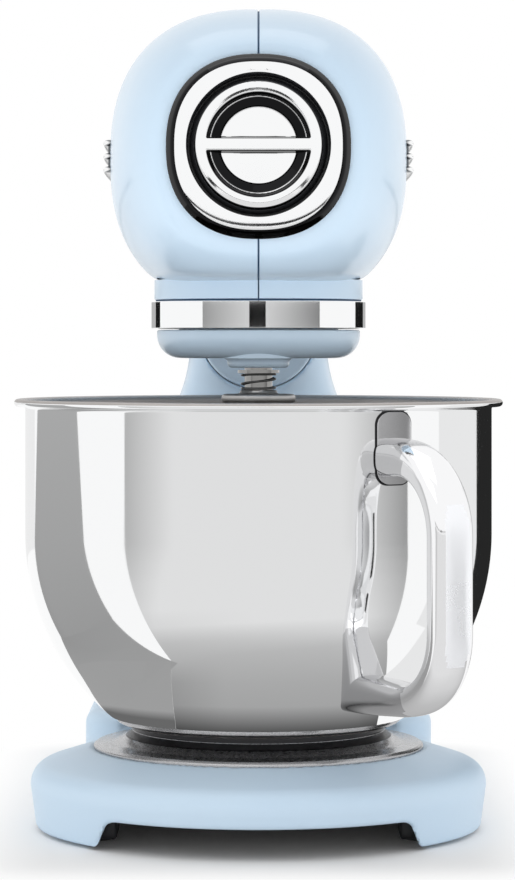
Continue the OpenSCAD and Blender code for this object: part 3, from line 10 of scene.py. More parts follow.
import bmesh
import bpy
import numpy as np
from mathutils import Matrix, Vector


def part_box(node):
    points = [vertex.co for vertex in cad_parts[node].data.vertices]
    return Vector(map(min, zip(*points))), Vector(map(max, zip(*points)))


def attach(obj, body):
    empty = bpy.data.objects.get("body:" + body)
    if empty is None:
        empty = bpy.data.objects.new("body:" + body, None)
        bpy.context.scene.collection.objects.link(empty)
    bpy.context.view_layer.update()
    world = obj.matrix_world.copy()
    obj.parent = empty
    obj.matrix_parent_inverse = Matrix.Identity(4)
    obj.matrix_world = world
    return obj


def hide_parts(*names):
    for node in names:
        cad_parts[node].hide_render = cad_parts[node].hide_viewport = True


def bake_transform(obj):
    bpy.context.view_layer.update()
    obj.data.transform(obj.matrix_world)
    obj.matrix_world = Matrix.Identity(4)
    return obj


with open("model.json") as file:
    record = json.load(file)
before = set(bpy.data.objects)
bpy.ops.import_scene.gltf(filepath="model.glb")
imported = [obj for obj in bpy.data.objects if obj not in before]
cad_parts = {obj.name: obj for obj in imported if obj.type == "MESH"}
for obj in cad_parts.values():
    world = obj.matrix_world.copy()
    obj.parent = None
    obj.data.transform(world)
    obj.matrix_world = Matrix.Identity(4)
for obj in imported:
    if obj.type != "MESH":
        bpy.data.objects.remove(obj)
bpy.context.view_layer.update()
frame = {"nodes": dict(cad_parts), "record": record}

MM = 0.001
BOWL_Y = sum(corner.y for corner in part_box("bowl")) / 2


# ---------------------------------------------------------------- sizes taken from the frame


def cad(node):
    """Lowest and highest corner of a CAD node, in millimetres from the bowl's axis."""
    lo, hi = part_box(node)
    shift = Vector((0, BOWL_Y, 0))
    return (lo - shift) / MM, (hi - shift) / MM


BODY_OF = {n: b for b, names in frame["record"]["behaviour"]["bodies"].items() for n in names}
SLOT_OF = {s["node"]: s["material_slot"] for s in frame["record"]["subparts"]}
NECK_BODY = BODY_OF["neck_band"]

bowl_lo, bowl_hi = cad("bowl")
foot_lo, foot_hi = cad("bowl_foot")
band_lo, band_hi = cad("neck_band")
hub_lo, hub_hi = cad("planet_carrier")
bezel_lo, bezel_hi = cad("front_bezel")
shell_lo, shell_hi = cad("head_shell_right")
column_lo, column_hi = cad("column_shell")
base_hi = cad("base_casting")[1]
shaft_lo, shaft_hi = cad("tool_shaft")
beater_lo, beater_hi = cad("flat_beater")
scale_lo, scale_hi = cad("speed_scale")
lever_lo, lever_hi = cad("speed_lever")

PIVOT_Y = sum(c.y for c in cad("hinge_pin")) / 2
PIVOT_Z = sum(c.z for c in cad("hinge_pin")) / 2
BADGE_Z = (bezel_lo.z + bezel_hi.z) / 2
TOOL_Y = (shaft_lo.y + shaft_hi.y) / 2
SCALE_Y = (scale_lo.y + scale_hi.y) / 2
LEVER_Y = (lever_lo.y + lever_hi.y) / 2
NOSE_Y = shell_lo.y
UNDERSIDE_Z = 246


# ---------------------------------------------------------------- mesh helpers


def add_object(name, data):
    obj = bpy.data.objects.new(name, data)
    bpy.context.scene.collection.objects.link(obj)
    return obj


def shade(obj, sharp=38, weigh=True):
    """Smooth shading up to sharp degrees, with normals weighted by the faces' sizes."""
    obj.data.shade_smooth()
    obj.data.set_sharp_from_angle(angle=math.radians(sharp))
    if weigh:
        obj.modifiers.new("weighted normals", "WEIGHTED_NORMAL").keep_sharp = True


def mesh(name, verts, faces, material, node=None, body=None, slot=None, sharp=38, weigh=True):
    """Object from millimetre points, welded, with outward normals."""
    data = bpy.data.meshes.new(name)
    points = np.asarray(verts, float) * MM
    points[:, 1] += BOWL_Y
    data.from_pydata(points.tolist(), [], [list(map(int, f)) for f in faces])
    bm = bmesh.new()
    bm.from_mesh(data)
    bmesh.ops.remove_doubles(bm, verts=bm.verts, dist=2e-7)
    bmesh.ops.dissolve_degenerate(bm, edges=bm.edges, dist=1e-7)
    bmesh.ops.recalc_face_normals(bm, faces=bm.faces)
    bm.to_mesh(data)
    bm.free()
    obj = add_object(name, data)
    data.materials.append(material)
    shade(obj, sharp, weigh)
    if node or body:
        settle(obj, node, body)
    return obj


def settle(obj, node=None, body=None):
    """Ride on a node's body and in its place, or on a given body."""
    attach(obj, body or BODY_OF[node])
    if node:
        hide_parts(node)


def paint(obj, material, test):
    """Give one more material to the faces where test(face, x, y, z) holds, in mm from the bowl's axis."""
    obj.data.materials.append(material)
    for face in obj.data.polygons:
        x, y, z = (face.center - Vector((0, BOWL_Y, 0))) / MM
        if test(face, x, y, z):
            face.material_index = len(obj.data.materials) - 1


def strips(rows, cols, close_rows=False, close_cols=False):
    """Quads over a grid of points stored row after row."""
    out = []
    for i in range(rows if close_rows else rows - 1):
        k = (i + 1) % rows
        for j in range(cols if close_cols else cols - 1):
            m = (j + 1) % cols
            out.append((i * cols + j, i * cols + m, k * cols + m, k * cols + j))
    return out


def loft(rings, caps=True, closed=False):
    """Points and faces through rings with the same number of points."""
    n = len(rings[0])
    verts = [p for ring in rings for p in ring]
    faces = strips(len(rings), n, close_rows=closed, close_cols=True)
    if caps and not closed:
        faces.append(tuple(range(n))[::-1])
        faces.append(tuple(range(len(verts) - n, len(verts))))
    return verts, faces


def merge(*parts):
    """One list of points and faces from several."""
    verts, faces = [], []
    for v, f in parts:
        faces += [tuple(i + len(verts) for i in face) for face in f]
        verts += list(v)
    return verts, faces


def mirrored(part):
    verts, faces = part
    return [(-x, y, z) for x, y, z in verts], [tuple(reversed(f)) for f in faces]


def rounded(points, closed=True, steps=5):
    """Polygon whose corners (x, y, radius) are rounded by arcs."""
    out, n = [], len(points)
    for i, corner in enumerate(points):
        p, r = np.array(corner[:2], float), corner[2]
        if r == 0 or (not closed and i in (0, n - 1)):
            out.append(tuple(p))
            continue
        a = np.array(points[i - 1][:2], float) - p
        b = np.array(points[(i + 1) % n][:2], float) - p
        a, b = a / np.linalg.norm(a), b / np.linalg.norm(b)
        half = math.acos(max(-1, min(1, float(a @ b)))) / 2
        reach = r / math.tan(half)
        centre = p + (a + b) / np.linalg.norm(a + b) * r / math.sin(half)
        start, end = p + a * reach - centre, p + b * reach - centre
        turn = math.atan2(start[0] * end[1] - start[1] * end[0], float(start @ end))
        for q in np.linspace(0, turn, steps + 1):
            c, s = math.cos(q), math.sin(q)
            out.append((centre[0] + start[0] * c - start[1] * s, centre[1] + start[0] * s + start[1] * c))
    return out


def rectangle(x, y0, y1, r, steps=5):
    """Outline from -x to x and y0 to y1 with round corners."""
    return rounded([(-x, y0, r), (x, y0, r), (x, y1, r), (-x, y1, r)], steps=steps)


def arc(x, y, r, a0, a1, count):
    """Points on an arc about (x, y), with angles in radians."""
    return [(x + r * math.cos(a), y + r * math.sin(a)) for a in np.linspace(a0, a1, count)]


def section(r0, r1, z0, z1):
    return [(r0, z0), (r1, z0), (r1, z1), (r0, z1)]


def revolve(profile, steps=192, centre=(0, 0), a0=0, a1=360, closed=True):
    """Solid of revolution about an upright axis. closed joins the profile's last point to its first."""
    full = abs(a1 - a0) >= 360
    count, n = steps if full else steps + 1, len(profile)
    verts = []
    for i in range(count):
        a = math.radians(a0 + (a1 - a0) * i / steps)
        verts += [(centre[0] + r * math.cos(a), centre[1] + r * math.sin(a), z) for r, z in profile]
    faces = strips(count, n, close_rows=full, close_cols=closed)
    if not full:
        faces += [tuple(range(n)), tuple(range(len(verts) - n, len(verts)))[::-1]]
    return verts, faces


def prism(outline, z0, z1):
    return loft([[(x, y, z) for x, y in outline] for z in (z0, z1)])


def box_part(x0, x1, y0, y1, z0, z1):
    return prism([(x0, y0), (x1, y0), (x1, y1), (x0, y1)], z0, z1)


def forward(part):
    """Turn a part drawn along +Z so that it points to the front from the nose's face."""
    verts, faces = part
    return [(x, NOSE_Y - w, BADGE_Z + y) for x, y, w in verts], faces


def spow(v, p):
    return np.sign(v) * np.abs(v) ** p


def smooth_max(a, b, k):
    h = np.clip(0.5 + 0.5 * (a - b) / k, 0, 1)
    return b + (a - b) * h + k * h * (1 - h)


def smooth_min(a, b, k):
    return -smooth_max(-a, -b, k)


def round_corner(u, v, r):
    """Distance from the corner between the faces u = 0 and v = 0, rounded by r."""
    u, v = u + r, v + r
    return np.minimum(np.maximum(u, v), 0) + np.hypot(np.maximum(u, 0), np.maximum(v, 0)) - r


def ease(x):
    x = np.clip(x, 0, 1)
    return x * x * (3 - 2 * x)


def cut(obj, *cutters):
    """Take closed cutters away from an object and shade it again."""
    obj.modifiers.clear()
    for part in cutters:
        tool = mesh("cutter", *part, material=None, weigh=False)
        modifier = obj.modifiers.new("cut", "BOOLEAN")
        modifier.operation = "DIFFERENCE"
        modifier.solver = "EXACT"
        modifier.object = tool
        depsgraph = bpy.context.evaluated_depsgraph_get()
        data = bpy.data.meshes.new_from_object(obj.evaluated_get(depsgraph))
        obj.modifiers.clear()
        obj.data = data
        bpy.data.objects.remove(tool)
    shade(obj)


def implicit(f, lo, hi, step):
    """Points and quads on the surface f = 0 of a solid where f is below 0, from a grid of cells."""
    axes = [np.arange(a - step, b + 2 * step, step) for a, b in zip(lo, hi)]
    field = f(*np.meshgrid(*axes, indexing="ij"))
    inside = field < 0
    cells = tuple(s - 1 for s in field.shape)
    total, count = np.zeros(cells + (3,)), np.zeros(cells)
    crossings = []
    for axis in range(3):
        a = [slice(None)] * 3
        b = [slice(None)] * 3
        a[axis], b[axis] = slice(0, -1), slice(1, None)
        f0, f1 = field[tuple(a)], field[tuple(b)]
        where = np.argwhere(inside[tuple(a)] != inside[tuple(b)])
        index = tuple(where.T)
        share = f0[index] / (f0[index] - f1[index])
        points = np.stack([axes[k][where[:, k]] for k in range(3)], 1)
        points[:, axis] += share * step
        others = [k for k in range(3) if k != axis]
        around = []
        for d0 in (-1, 0):
            for d1 in (-1, 0):
                cell = where.copy()
                cell[:, others[0]] += d0
                cell[:, others[1]] += d1
                np.add.at(total, tuple(cell.T), points)
                np.add.at(count, tuple(cell.T), 1)
                around.append(cell)
        crossings.append((axis, inside[tuple(a)][index], around))
    used = np.argwhere(count > 0)
    number = -np.ones(cells, int)
    number[tuple(used.T)] = np.arange(len(used))
    verts = total[tuple(used.T)] / count[tuple(used.T)][:, None]
    for _ in range(4):
        value = f(*verts.T)
        slope = np.stack([
            (f(*(verts + d).T) - f(*(verts - d).T)) / (2 * 1e-3) for d in np.eye(3) * 1e-3
        ], 1)
        move = slope * (value / np.maximum((slope**2).sum(1), 1e-9))[:, None]
        length = np.linalg.norm(move, axis=1, keepdims=True)
        verts -= move * np.minimum(1, 0.5 * step / np.maximum(length, 1e-12))
    faces = []
    for axis, starts_inside, (c00, c01, c10, c11) in crossings:
        quad = np.stack([number[tuple(c.T)] for c in (c00, c10, c11, c01)], 1)
        flip = starts_inside if axis != 1 else ~starts_inside
        quad[~flip] = quad[~flip][:, ::-1]
        faces += quad.tolist()
    return verts, faces


def casting(name, field, lo, hi, step, material, node):
    """Piece with the surface of an implicit solid, which stands for a node."""
    return mesh(name, *implicit(field, lo, hi, step), material, node, sharp=50, weigh=False)


# ---------------------------------------------------------------- materials

LIGHT_PLATE = (0.93, 0.935, 0.94, 1)
WHITE = (1, 1, 1, 1)


def srgb(*values):
    """Linear colour from 8-bit display values."""
    shares = [v / 255 for v in values]
    return (*(s / 12.92 if s <= 0.04045 else ((s + 0.055) / 1.055) ** 2.4 for s in shares), 1)


def scaled(colour, factor, lift=0.0):
    return (*(min(1, c * factor + lift) for c in colour[:3]), 1)


def node_material(name):
    """Material and its node tree."""
    material = bpy.data.materials.new(name)
    material.use_nodes = True
    return material, material.node_tree


def add_node(tree, kind, operation=None, **inputs):
    """Shader node whose inputs, by name or by place as in0 and in1, are set or joined to outputs."""
    made = tree.nodes.new("ShaderNode" + kind)
    if operation:
        made.operation = operation
    for key, value in inputs.items():
        socket = made.inputs[int(key[2:]) if key[2:].isdigit() else key.replace("_", " ")]
        if isinstance(value, bpy.types.NodeSocket):
            tree.links.new(value, socket)
        else:
            socket.default_value = value
    return made


class Shader:
    """A Principled material whose textures use the piece's own coordinates, in metres."""

    def __init__(self, name, colour, metallic=0.0, roughness=0.4, **settings):
        self.material, self.tree = node_material(name)
        self.bsdf = self.tree.nodes["Principled BSDF"]
        self.colour, self.roughness = colour, roughness
        settings.update(Base_Color=colour, Metallic=metallic, Roughness=roughness)
        for key, value in settings.items():
            self.bsdf.inputs[key.replace("_", " ")].default_value = value
        self.coords = self.tree.nodes.new("ShaderNodeTexCoord")

    def join(self, output, name):
        self.tree.links.new(output, self.bsdf.inputs[name])

    def noise(self, scale, detail=4, stretch=None):
        """Noise of so many waves a metre, stretched along an axis where a scale is smaller."""
        place = self.coords.outputs["Object"]
        if stretch:
            place = add_node(self.tree, "Mapping", Scale=stretch, Vector=place).outputs["Vector"]
        made = add_node(self.tree, "TexNoise", Scale=scale, Detail=detail, Roughness=0.55, Vector=place)
        return made.outputs["Fac"]

    def spread(self, source, low, high, start=0.3, end=0.7):
        """Map a texture's middle range onto low to high."""
        limits = dict(From_Min=start, From_Max=end, To_Min=low, To_Max=high)
        return add_node(self.tree, "MapRange", Value=source, **limits).outputs["Result"]

    def vary_roughness(self, source, amount):
        self.join(self.spread(source, self.roughness - amount, self.roughness + amount), "Roughness")

    def vary_colour(self, share, other):
        """Blend the colour into another by a share from 0 to 1."""
        made = self.tree.nodes.new("ShaderNodeMix")
        made.data_type = "RGBA"
        self.tree.links.new(share, made.inputs["Factor"])
        made.inputs["A"].default_value = self.colour
        made.inputs["B"].default_value = other
        self.join(made.outputs["Result"], "Base Color")

    def bump(self, source, distance, strength):
        made = add_node(self.tree, "Bump", Distance=distance, Strength=strength, Height=source)
        self.join(made.outputs["Normal"], "Normal")


def enamel(name, roughness, coat, coat_roughness):
    """Glossy baked enamel with a faint orange peel and the least change of tone."""
    gloss = dict(Coat_Weight=coat, Coat_Roughness=coat_roughness, Coat_IOR=1.5)
    s = Shader(name, srgb(200, 221, 238), roughness=roughness, **gloss)
    s.vary_colour(s.spread(s.noise(9, 3), 0, 1), srgb(196, 218, 237))
    s.vary_roughness(s.noise(60, 5), 0.04)
    s.bump(s.noise(420, 2), 0.00002, 0.25)
    return s.material


# navy fill whose dark colour is painted shade in the head's seams
def gasket_rubber():
    s = Shader("navy_seam_painted_shade", srgb(38, 72, 104), roughness=0.6)
    s.vary_colour(s.spread(s.noise(300, 3), 0, 1), srgb(30, 60, 90))
    s.bump(s.noise(900, 2), 0.00001, 0.4)
    return s.material


def polished(name, colour, roughness, grain, streak=None, metallic=1.0):
    """Bright metal with cloudy polish marks and hair-fine scratches."""
    s = Shader(name, colour, metallic=metallic, roughness=roughness)
    s.vary_roughness(s.noise(24, 6), roughness * 0.35)
    s.bump(s.noise(grain, 3, stretch=streak), 0.000004, 0.25)
    return s.material


def relief(name, bright, dark, roughness, axis="Y", start=0.92, end=0.965):
    """Bright plating whose walls and grooves, turned away from one axis, take a painted dark reflection."""
    s = Shader(name, bright, metallic=1.0, roughness=roughness)
    s.vary_roughness(s.noise(30, 5), roughness * 0.35)
    split = add_node(s.tree, "SeparateXYZ", in0=s.coords.outputs["Normal"])
    facing = add_node(s.tree, "Math", "ABSOLUTE", in0=split.outputs[axis])
    # painted dark reflection on the faces turned away from the axis
    s.vary_colour(s.spread(facing.outputs[0], 1, 0, start, end), dark)
    s.bump(s.noise(1500, 3), 0.000003, 0.2)
    return s.material


def brushed(name, colour, roughness, stretch, scale=900):
    """Machined or brushed metal with marks along one axis."""
    s = Shader(name, colour, metallic=1.0, roughness=roughness)
    marks = s.noise(scale, 4, stretch=stretch)
    s.vary_roughness(marks, 0.08)
    s.bump(marks, 0.00001, 0.5)
    s.vary_colour(s.spread(s.noise(35, 4), 0, 1), scaled(colour, 0.88))
    return s.material


def cast(name, colour, roughness, scale, depth, metallic=0.0, worn=None):
    """Moulded or cast surface: fine grain, uneven gloss and a slow change of tone."""
    s = Shader(name, colour, metallic=metallic, roughness=roughness)
    s.vary_roughness(s.noise(scale * 0.2, 4), roughness * 0.22)
    s.vary_colour(s.spread(s.noise(scale * 0.05, 4), 0, 1), worn or scaled(colour, 1.25, 0.004))
    s.bump(s.noise(scale, 3), depth, 0.6)
    return s.material


PAINT = enamel("enamel_blue", 0.34, 0.45, 0.1)
SEAM_PAINTED_SHADE = gasket_rubber()
BASE_PAINT = enamel("enamel_blue_base", 0.5, 0.2, 0.3)
CHROME = polished("chrome_plate", LIGHT_PLATE, 0.035, 1500)
# The badge and the side ribs carry painted dark reflections on their walls, grooves and flanks.
BADGE_CHROME_PAINTED_DARK = relief("badge_chrome_painted_dark", LIGHT_PLATE, (0.014, 0.014, 0.015, 1), 0.045)
RIB_CHROME_PAINTED_DARK = relief("ribbed_chrome_painted_dark", (0.93, 0.932, 0.935, 1), (0.13, 0.14, 0.15, 1), 0.05, "X", 0.4, 0.65)
BOWL_STEEL = polished("polished_bowl_steel", LIGHT_PLATE, 0.05, 1100, streak=(0.15, 0.15, 1.0))
# the bowl's inside: base colour darkened as painted shade and warmed against the blue paint it reflects
BOWL_INSIDE_PAINTED_SHADE = brushed("bowl_inside_satin_painted_shade", (0.44, 0.415, 0.40, 1), 0.48, (1, 1, 9), scale=700)
FLANGE_STEEL = brushed("foot_flange_satin", (0.50, 0.50, 0.51, 1), 0.28, (1, 1, 6), scale=700)
PAINTED_SHADE_GREY = brushed("foot_waist_shadow_grey", (0.035, 0.035, 0.037, 1), 0.35, (1, 1, 6), scale=500)
HANDLE_STEEL = polished("polished_handle", (0.93, 0.93, 0.94, 1), 0.06, 900)
# one polished steel for the whole handle: the arm copy is darker as painted shade, the grip copy duller and
# paler as painted sheen
HANDLE_GRIP_PAINTED_SHEEN = polished("polished_handle_grip_painted_sheen", (0.9, 0.91, 0.935, 1), 0.34, 700, metallic=0.7)
HANDLE_ARM_PAINTED_SHADE = polished("polished_handle_arm_painted_shade", (0.62, 0.62, 0.63, 1), 0.1, 900)
# shaft, washer and spring: base colours darkened below steel's as painted shade under the hub
SHAFT_STEEL_PAINTED_DARK = polished("ground_shaft_steel_painted_dark", (0.3, 0.297, 0.292, 1), 0.07, 1100)
PADDLE = brushed("paddle_satin", (0.50, 0.495, 0.49, 1), 0.42, (1, 1, 2))
SPRING_STEEL_PAINTED_DARK = polished("spring_steel_painted_dark", (0.10, 0.10, 0.10, 1), 0.15, 900)
SATIN_ALUMINIUM = cast("satin_cast_aluminium", (0.66, 0.67, 0.68, 1), 0.36, 1400, 0.00002, metallic=1.0)
STEEL = brushed("machined_steel", (0.62, 0.625, 0.63, 1), 0.24, (1, 1, 14))
RUBBER = cast("foot_rubber", srgb(52, 53, 55), 0.72, 1800, 0.00003)
# dark plastic for real parts, and near-black painted shade in the badge's opening, round the cover and under
# the base's arch
BLACK_PLASTIC_AND_PAINTED_SHADE = cast("dark_plastic", srgb(44, 45, 48), 0.45, 2200, 0.00002)
BRONZE = brushed("bearing_bronze", (0.60, 0.42, 0.20, 1), 0.3, (1, 12, 1))
COPPER = cast("copper_wire", (0.72, 0.30, 0.12, 1), 0.3, 900, 0.00004, metallic=1.0)
IRON = brushed("iron_core", (0.25, 0.26, 0.28, 1), 0.42, (1, 1, 30), scale=500)
NYLON = cast("gear_nylon", srgb(226, 221, 206), 0.42, 1200, 0.00002)
BOARD = cast("circuit_board", srgb(34, 92, 58), 0.35, 700, 0.00002, worn=srgb(58, 120, 74))
BUTTON = cast("button_grey", srgb(92, 95, 100), 0.4, 1600, 0.00002)

MATERIAL_OF_SLOT = {
    "body_paint": PAINT,
    "chrome_trim": CHROME,
    "bowl_steel": BOWL_STEEL,
    "cast_aluminium": SATIN_ALUMINIUM,
    "machined_steel": STEEL,
    "feet_rubber": RUBBER,
    "dark_plastic": BLACK_PLASTIC_AND_PAINTED_SHADE,
    "bearing_bronze": BRONZE,
    "copper_wire": COPPER,
    "iron_core": IRON,
    "gear_nylon": NYLON,
    "circuit_board": BOARD,
}
MATERIAL_OF_NODE = {
    "release_button": BUTTON,
    "tool_shaft": SHAFT_STEEL_PAINTED_DARK,
    "shaft_washer": SHAFT_STEEL_PAINTED_DARK,
    "pin_caps": PAINT,
    "drive_belt": RUBBER,
}


# ---------------------------------------------------------------- head

HEAD_HALF_W = shell_hi.x
HEAD_WIDEST_Y = 70
HEAD_ROUNDNESS = 2.44
HEAD_MID_Z = 301.7
HEAD_HALF_H = 68.5
HEAD_RISE = 5
RISE_FROM_Y, RISE_LENGTH = -30, 230
NOSE_TIP = 166.8
NOSE_POWER = 3.5
NOSE_FLAT = 0.42
TAIL_POWER = 2.8
SHELL_WALL = 3
SEAM = 0.32
NECK_R = 47.2
NECK_BOTTOM_Z = shell_lo.z - 0.7
TONGUE_R = cad("hinge_tongue")[1].x
TONGUE_SLOT = box_part(-30, 30, 116.4, 198.6, 240, 252)
LEVER_SLOT_HALF_W = 3.2
LEVER_SLOT_ENDS = SCALE_Y - 27, SCALE_Y + 27


def head_middle(y):
    along = np.clip((y - RISE_FROM_Y) / RISE_LENGTH, 0, 1)
    return HEAD_MID_Z + HEAD_RISE * (1 - np.cos(np.pi * along)) / 2


def head_profile(inset):
    """Stations along the head: (distance behind the axis, share of the full section)."""
    tail = shell_hi.y - HEAD_WIDEST_Y - inset
    t = math.acos(NOSE_FLAT ** (NOSE_POWER / 2)) * (1 - np.linspace(0, 1, 64)) ** 1.35
    s = np.cos(t) ** (2 / NOSE_POWER)
    y = HEAD_WIDEST_Y - (NOSE_TIP - inset) * np.sin(t) ** (2 / NOSE_POWER)
    nose = np.stack([smooth_max(y, NOSE_Y + inset, 5), s], 1)
    t = np.pi / 2 * (0.5 - 0.5 * np.cos(np.pi * np.linspace(0, 1, 76)[1:]))
    s = np.clip(np.cos(t), 0, 1) ** (2 / TAIL_POWER)
    y = HEAD_WIDEST_Y + tail * np.sin(t) ** (2 / TAIL_POWER)
    return np.concatenate([nose, np.stack([y, s], 1)])


def head_skin(inset, soft):
    """Grid of the right half's skin, station by section point, up to the joint's fillet."""
    stations = head_profile(inset)
    v = np.linspace(0, np.pi, 74)[1:-1]
    y, s = stations[:, :1], stations[:, 1:]
    x = (HEAD_HALF_W - inset) * s * np.sin(v) ** (2 / HEAD_ROUNDNESS)
    z = head_middle(y) + (HEAD_HALF_H - inset) * s * spow(np.cos(v), 2 / HEAD_ROUNDNESS)
    z = smooth_max(z, UNDERSIDE_Z + inset, soft)
    return np.stack([np.maximum(x, SEAM + 0.6), np.broadcast_to(y, x.shape), z], 2)


def joint_edge(skin, side):
    """Columns of points that round the skin's edge into the joint's flat face."""
    line = skin[:, side, 1:]
    along = np.gradient(line, axis=0)
    normal = np.stack([along[:, 1], -along[:, 0]], 1)
    normal /= np.linalg.norm(normal, axis=1, keepdims=True) + 1e-9
    if side == -1:
        normal = -normal
    rows = []
    for x, depth in ((SEAM + 0.25, 0.1), (SEAM + 0.06, 0.34), (SEAM, 0.7), (SEAM, SHELL_WALL)):
        p = line + normal * depth
        rows.append(np.concatenate([np.full((len(p), 1), x), p], 1))
    return rows


def head_half():
    """Right shell: both skins and a rounded edge along the joint."""
    outer, inner = head_skin(0, 5), head_skin(SHELL_WALL, 2)
    columns = joint_edge(outer, 0)[::-1]
    columns += [outer[:, j] for j in range(outer.shape[1])]
    columns += joint_edge(outer, -1)
    columns += [inner[:, j] for j in reversed(range(inner.shape[1]))]
    rings = [[tuple(c[i]) for c in columns] for i in range(len(outer))]
    verts, faces = loft(rings, caps=False)
    n = len(columns)
    for first in (0, len(verts) - n):
        last = first + n - 1
        faces += [(first + j, first + j + 1, last - 1 - j, last - j) for j in range(n // 2 - 1)]
    return verts, faces


def neck_half():
    inner = NECK_R - SHELL_WALL
    profile = rounded([
        (inner, NECK_BOTTOM_Z, 0), (NECK_R, NECK_BOTTOM_Z, 0.6), (NECK_R, UNDERSIDE_Z + 1, 0),
        (inner, UNDERSIDE_Z + 1, 0),
    ])
    gap = math.degrees(math.asin(SEAM / NECK_R))
    return revolve(profile, steps=96, a0=-90 + gap, a1=90 - gap)


def neck_opening(r):
    """Cutter for the hole in the head's underside above the neck."""
    return revolve([(0, 235), (r, 235), (r, 252), (0, 252)], closed=False)


def head_seam():
    """Navy strip of painted shade a little below the joint's surface, from the neck round the head."""
    depth, half = 0.9, SEAM + 0.2
    loops = []
    for inset in (depth, depth + 1.2):
        skin = head_skin(inset, 5)
        loops.append(np.concatenate([skin[:, 0, 1:], skin[::-1, -1, 1:]]))
    rings = [[(-half, *o), (half, *o), (half, *i), (-half, *i)] for o, i in zip(*loops)]
    sleeve = section(NECK_R - 1.4, NECK_R - 0.8, NECK_BOTTOM_Z + 0.2, UNDERSIDE_Z + 1)
    parts = merge(loft(rings, closed=True), revolve(sleeve, 24, a0=-93, a1=-87))
    shade_strip = mesh("head_seam_painted_shade", *parts, SEAM_PAINTED_SHADE)
    scale_hole = box_part(-30, 30, scale_lo.y - 0.1, scale_hi.y + 0.1, 355, 390)
    cut(shade_strip, TONGUE_SLOT, neck_opening(NECK_R - 3), scale_hole)
    settle(shade_strip, body=NECK_BODY)
    # painted shade: a navy ring fills the gap between the neck and the band
    ring = revolve(section(44.6, 46.6, band_hi.z + 0.05, NECK_BOTTOM_Z + 0.3), 128)
    mesh("neck_painted_shade_ring", *ring, SEAM_PAINTED_SHADE, body=NECK_BODY, slot="dark_plastic")


def head_shells():
    scale_seat = box_part(
        scale_lo.x - 0.1, scale_hi.x + 0.1, scale_lo.y - 0.1, scale_hi.y + 0.1, scale_lo.z, 390
    )
    lever_slot = box_part(-LEVER_SLOT_HALF_W, LEVER_SLOT_HALF_W, *LEVER_SLOT_ENDS, 360, 390)
    for word in ("right", "left"):
        parts = [head_half(), neck_half()]
        if word == "left":
            parts = [mirrored(part) for part in parts]
        shell = mesh(f"head_half_{word}", *parts[0], material=PAINT)
        cut(shell, neck_opening(NECK_R - 1), TONGUE_SLOT, scale_seat, lever_slot)
        settle(shell, f"head_shell_{word}")
        neck = mesh(f"neck_half_{word}", *parts[1], material=PAINT)
        settle(neck, body=NECK_BODY)


# ---------------------------------------------------------------- hub, band and tool

HUB_LOW_Z = 211.8
SKIRT_TOP_Z = 224.5
PADDLE_HALF_THICK = 4.5
FRAME_HALF_W = 4
BAR_Z = 91.2, 147.2
BAR_HALF_H = 3.2
TUBE_R, TUBE_LOW_Z = 8.2, 160
BORE_R, BORE_LOW_Z = 6.28, 169
DISC_R, DISC_Z = 15.2, 193.9
SPLIT_HALF_W, SPLIT_HALF_H, SPLIT_Z, SPLIT_TURN = 1.9, 6, 183, 0.7


def neck_band():
    inner = band_hi.x - 3
    profile = rounded([
        (inner, band_lo.z, 0), (band_hi.x, band_lo.z, 0.35), (band_hi.x, band_hi.z, 0.35),
        (38.6, band_hi.z, 0), (38.6, band_hi.z - 1.3, 0), (inner, band_hi.z - 1.3, 0),
    ])
    mesh("chrome_neck_band", *revolve(profile, 256), CHROME, "neck_band")


def hub():
    """Rotating hub: skirt with a rounded lower edge, the neck in the band and the beater's boss."""
    r, low, high = hub_hi.x, HUB_LOW_Z, HUB_LOW_Z + 3
    skirt = rounded([
        (0, low, 0), (r, low, 10.5), (r, SKIRT_TOP_Z, 0.8), (36.2, SKIRT_TOP_Z, 0),
        (36.2, hub_hi.z, 0), (0, hub_hi.z, 0),
    ], closed=False, steps=14)
    boss = rounded([
        (0, hub_lo.z, 0), (13.75, hub_lo.z, 2), (13.75, low, 2.2), (18, low, 0), (18, high, 0), (0, high, 0),
    ], closed=False, steps=8)
    parts = revolve(skirt, 224, closed=False), revolve(boss, 96, centre=(0, TOOL_Y), closed=False)
    mesh("planetary_hub", *merge(*parts), PAINT, "planet_carrier")


def wire(points, radius):
    """Round wire through points, with its section kept square to the path."""
    tangents = np.gradient(points, axis=0)
    tangents /= np.linalg.norm(tangents, axis=1, keepdims=True)
    around = np.linspace(0, 2 * np.pi, 14, endpoint=False)
    rings = []
    for p, t in zip(points, tangents):
        across = np.cross(t, (0, 0, 1))
        across /= np.linalg.norm(across)
        up = np.cross(across, t)
        rings.append([tuple(p + radius * (math.cos(q) * across + math.sin(q) * up)) for q in around])
    return loft(rings)


def coil(coil_r, radius, length, turns):
    """Compression spring along z from 0: a flat coil at each end and open turns between."""
    flat_turns, start_angle = 0.6, 0.6
    t = np.linspace(0, 1, 240)
    rise = ease((t * turns - flat_turns) / (turns - 2 * flat_turns))
    a = 2 * np.pi * turns * t + start_angle
    points = np.stack([coil_r * np.cos(a), coil_r * np.sin(a), radius + (length - 2 * radius) * rise], 1)
    return wire(points, radius)


def spring(node, part):
    """One spring that stands for a node, whose wire takes the hidden node's place."""
    obj = mesh(f"{node}_wire", *part, SPRING_STEEL_PAINTED_DARK)
    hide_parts(node)
    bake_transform(obj)


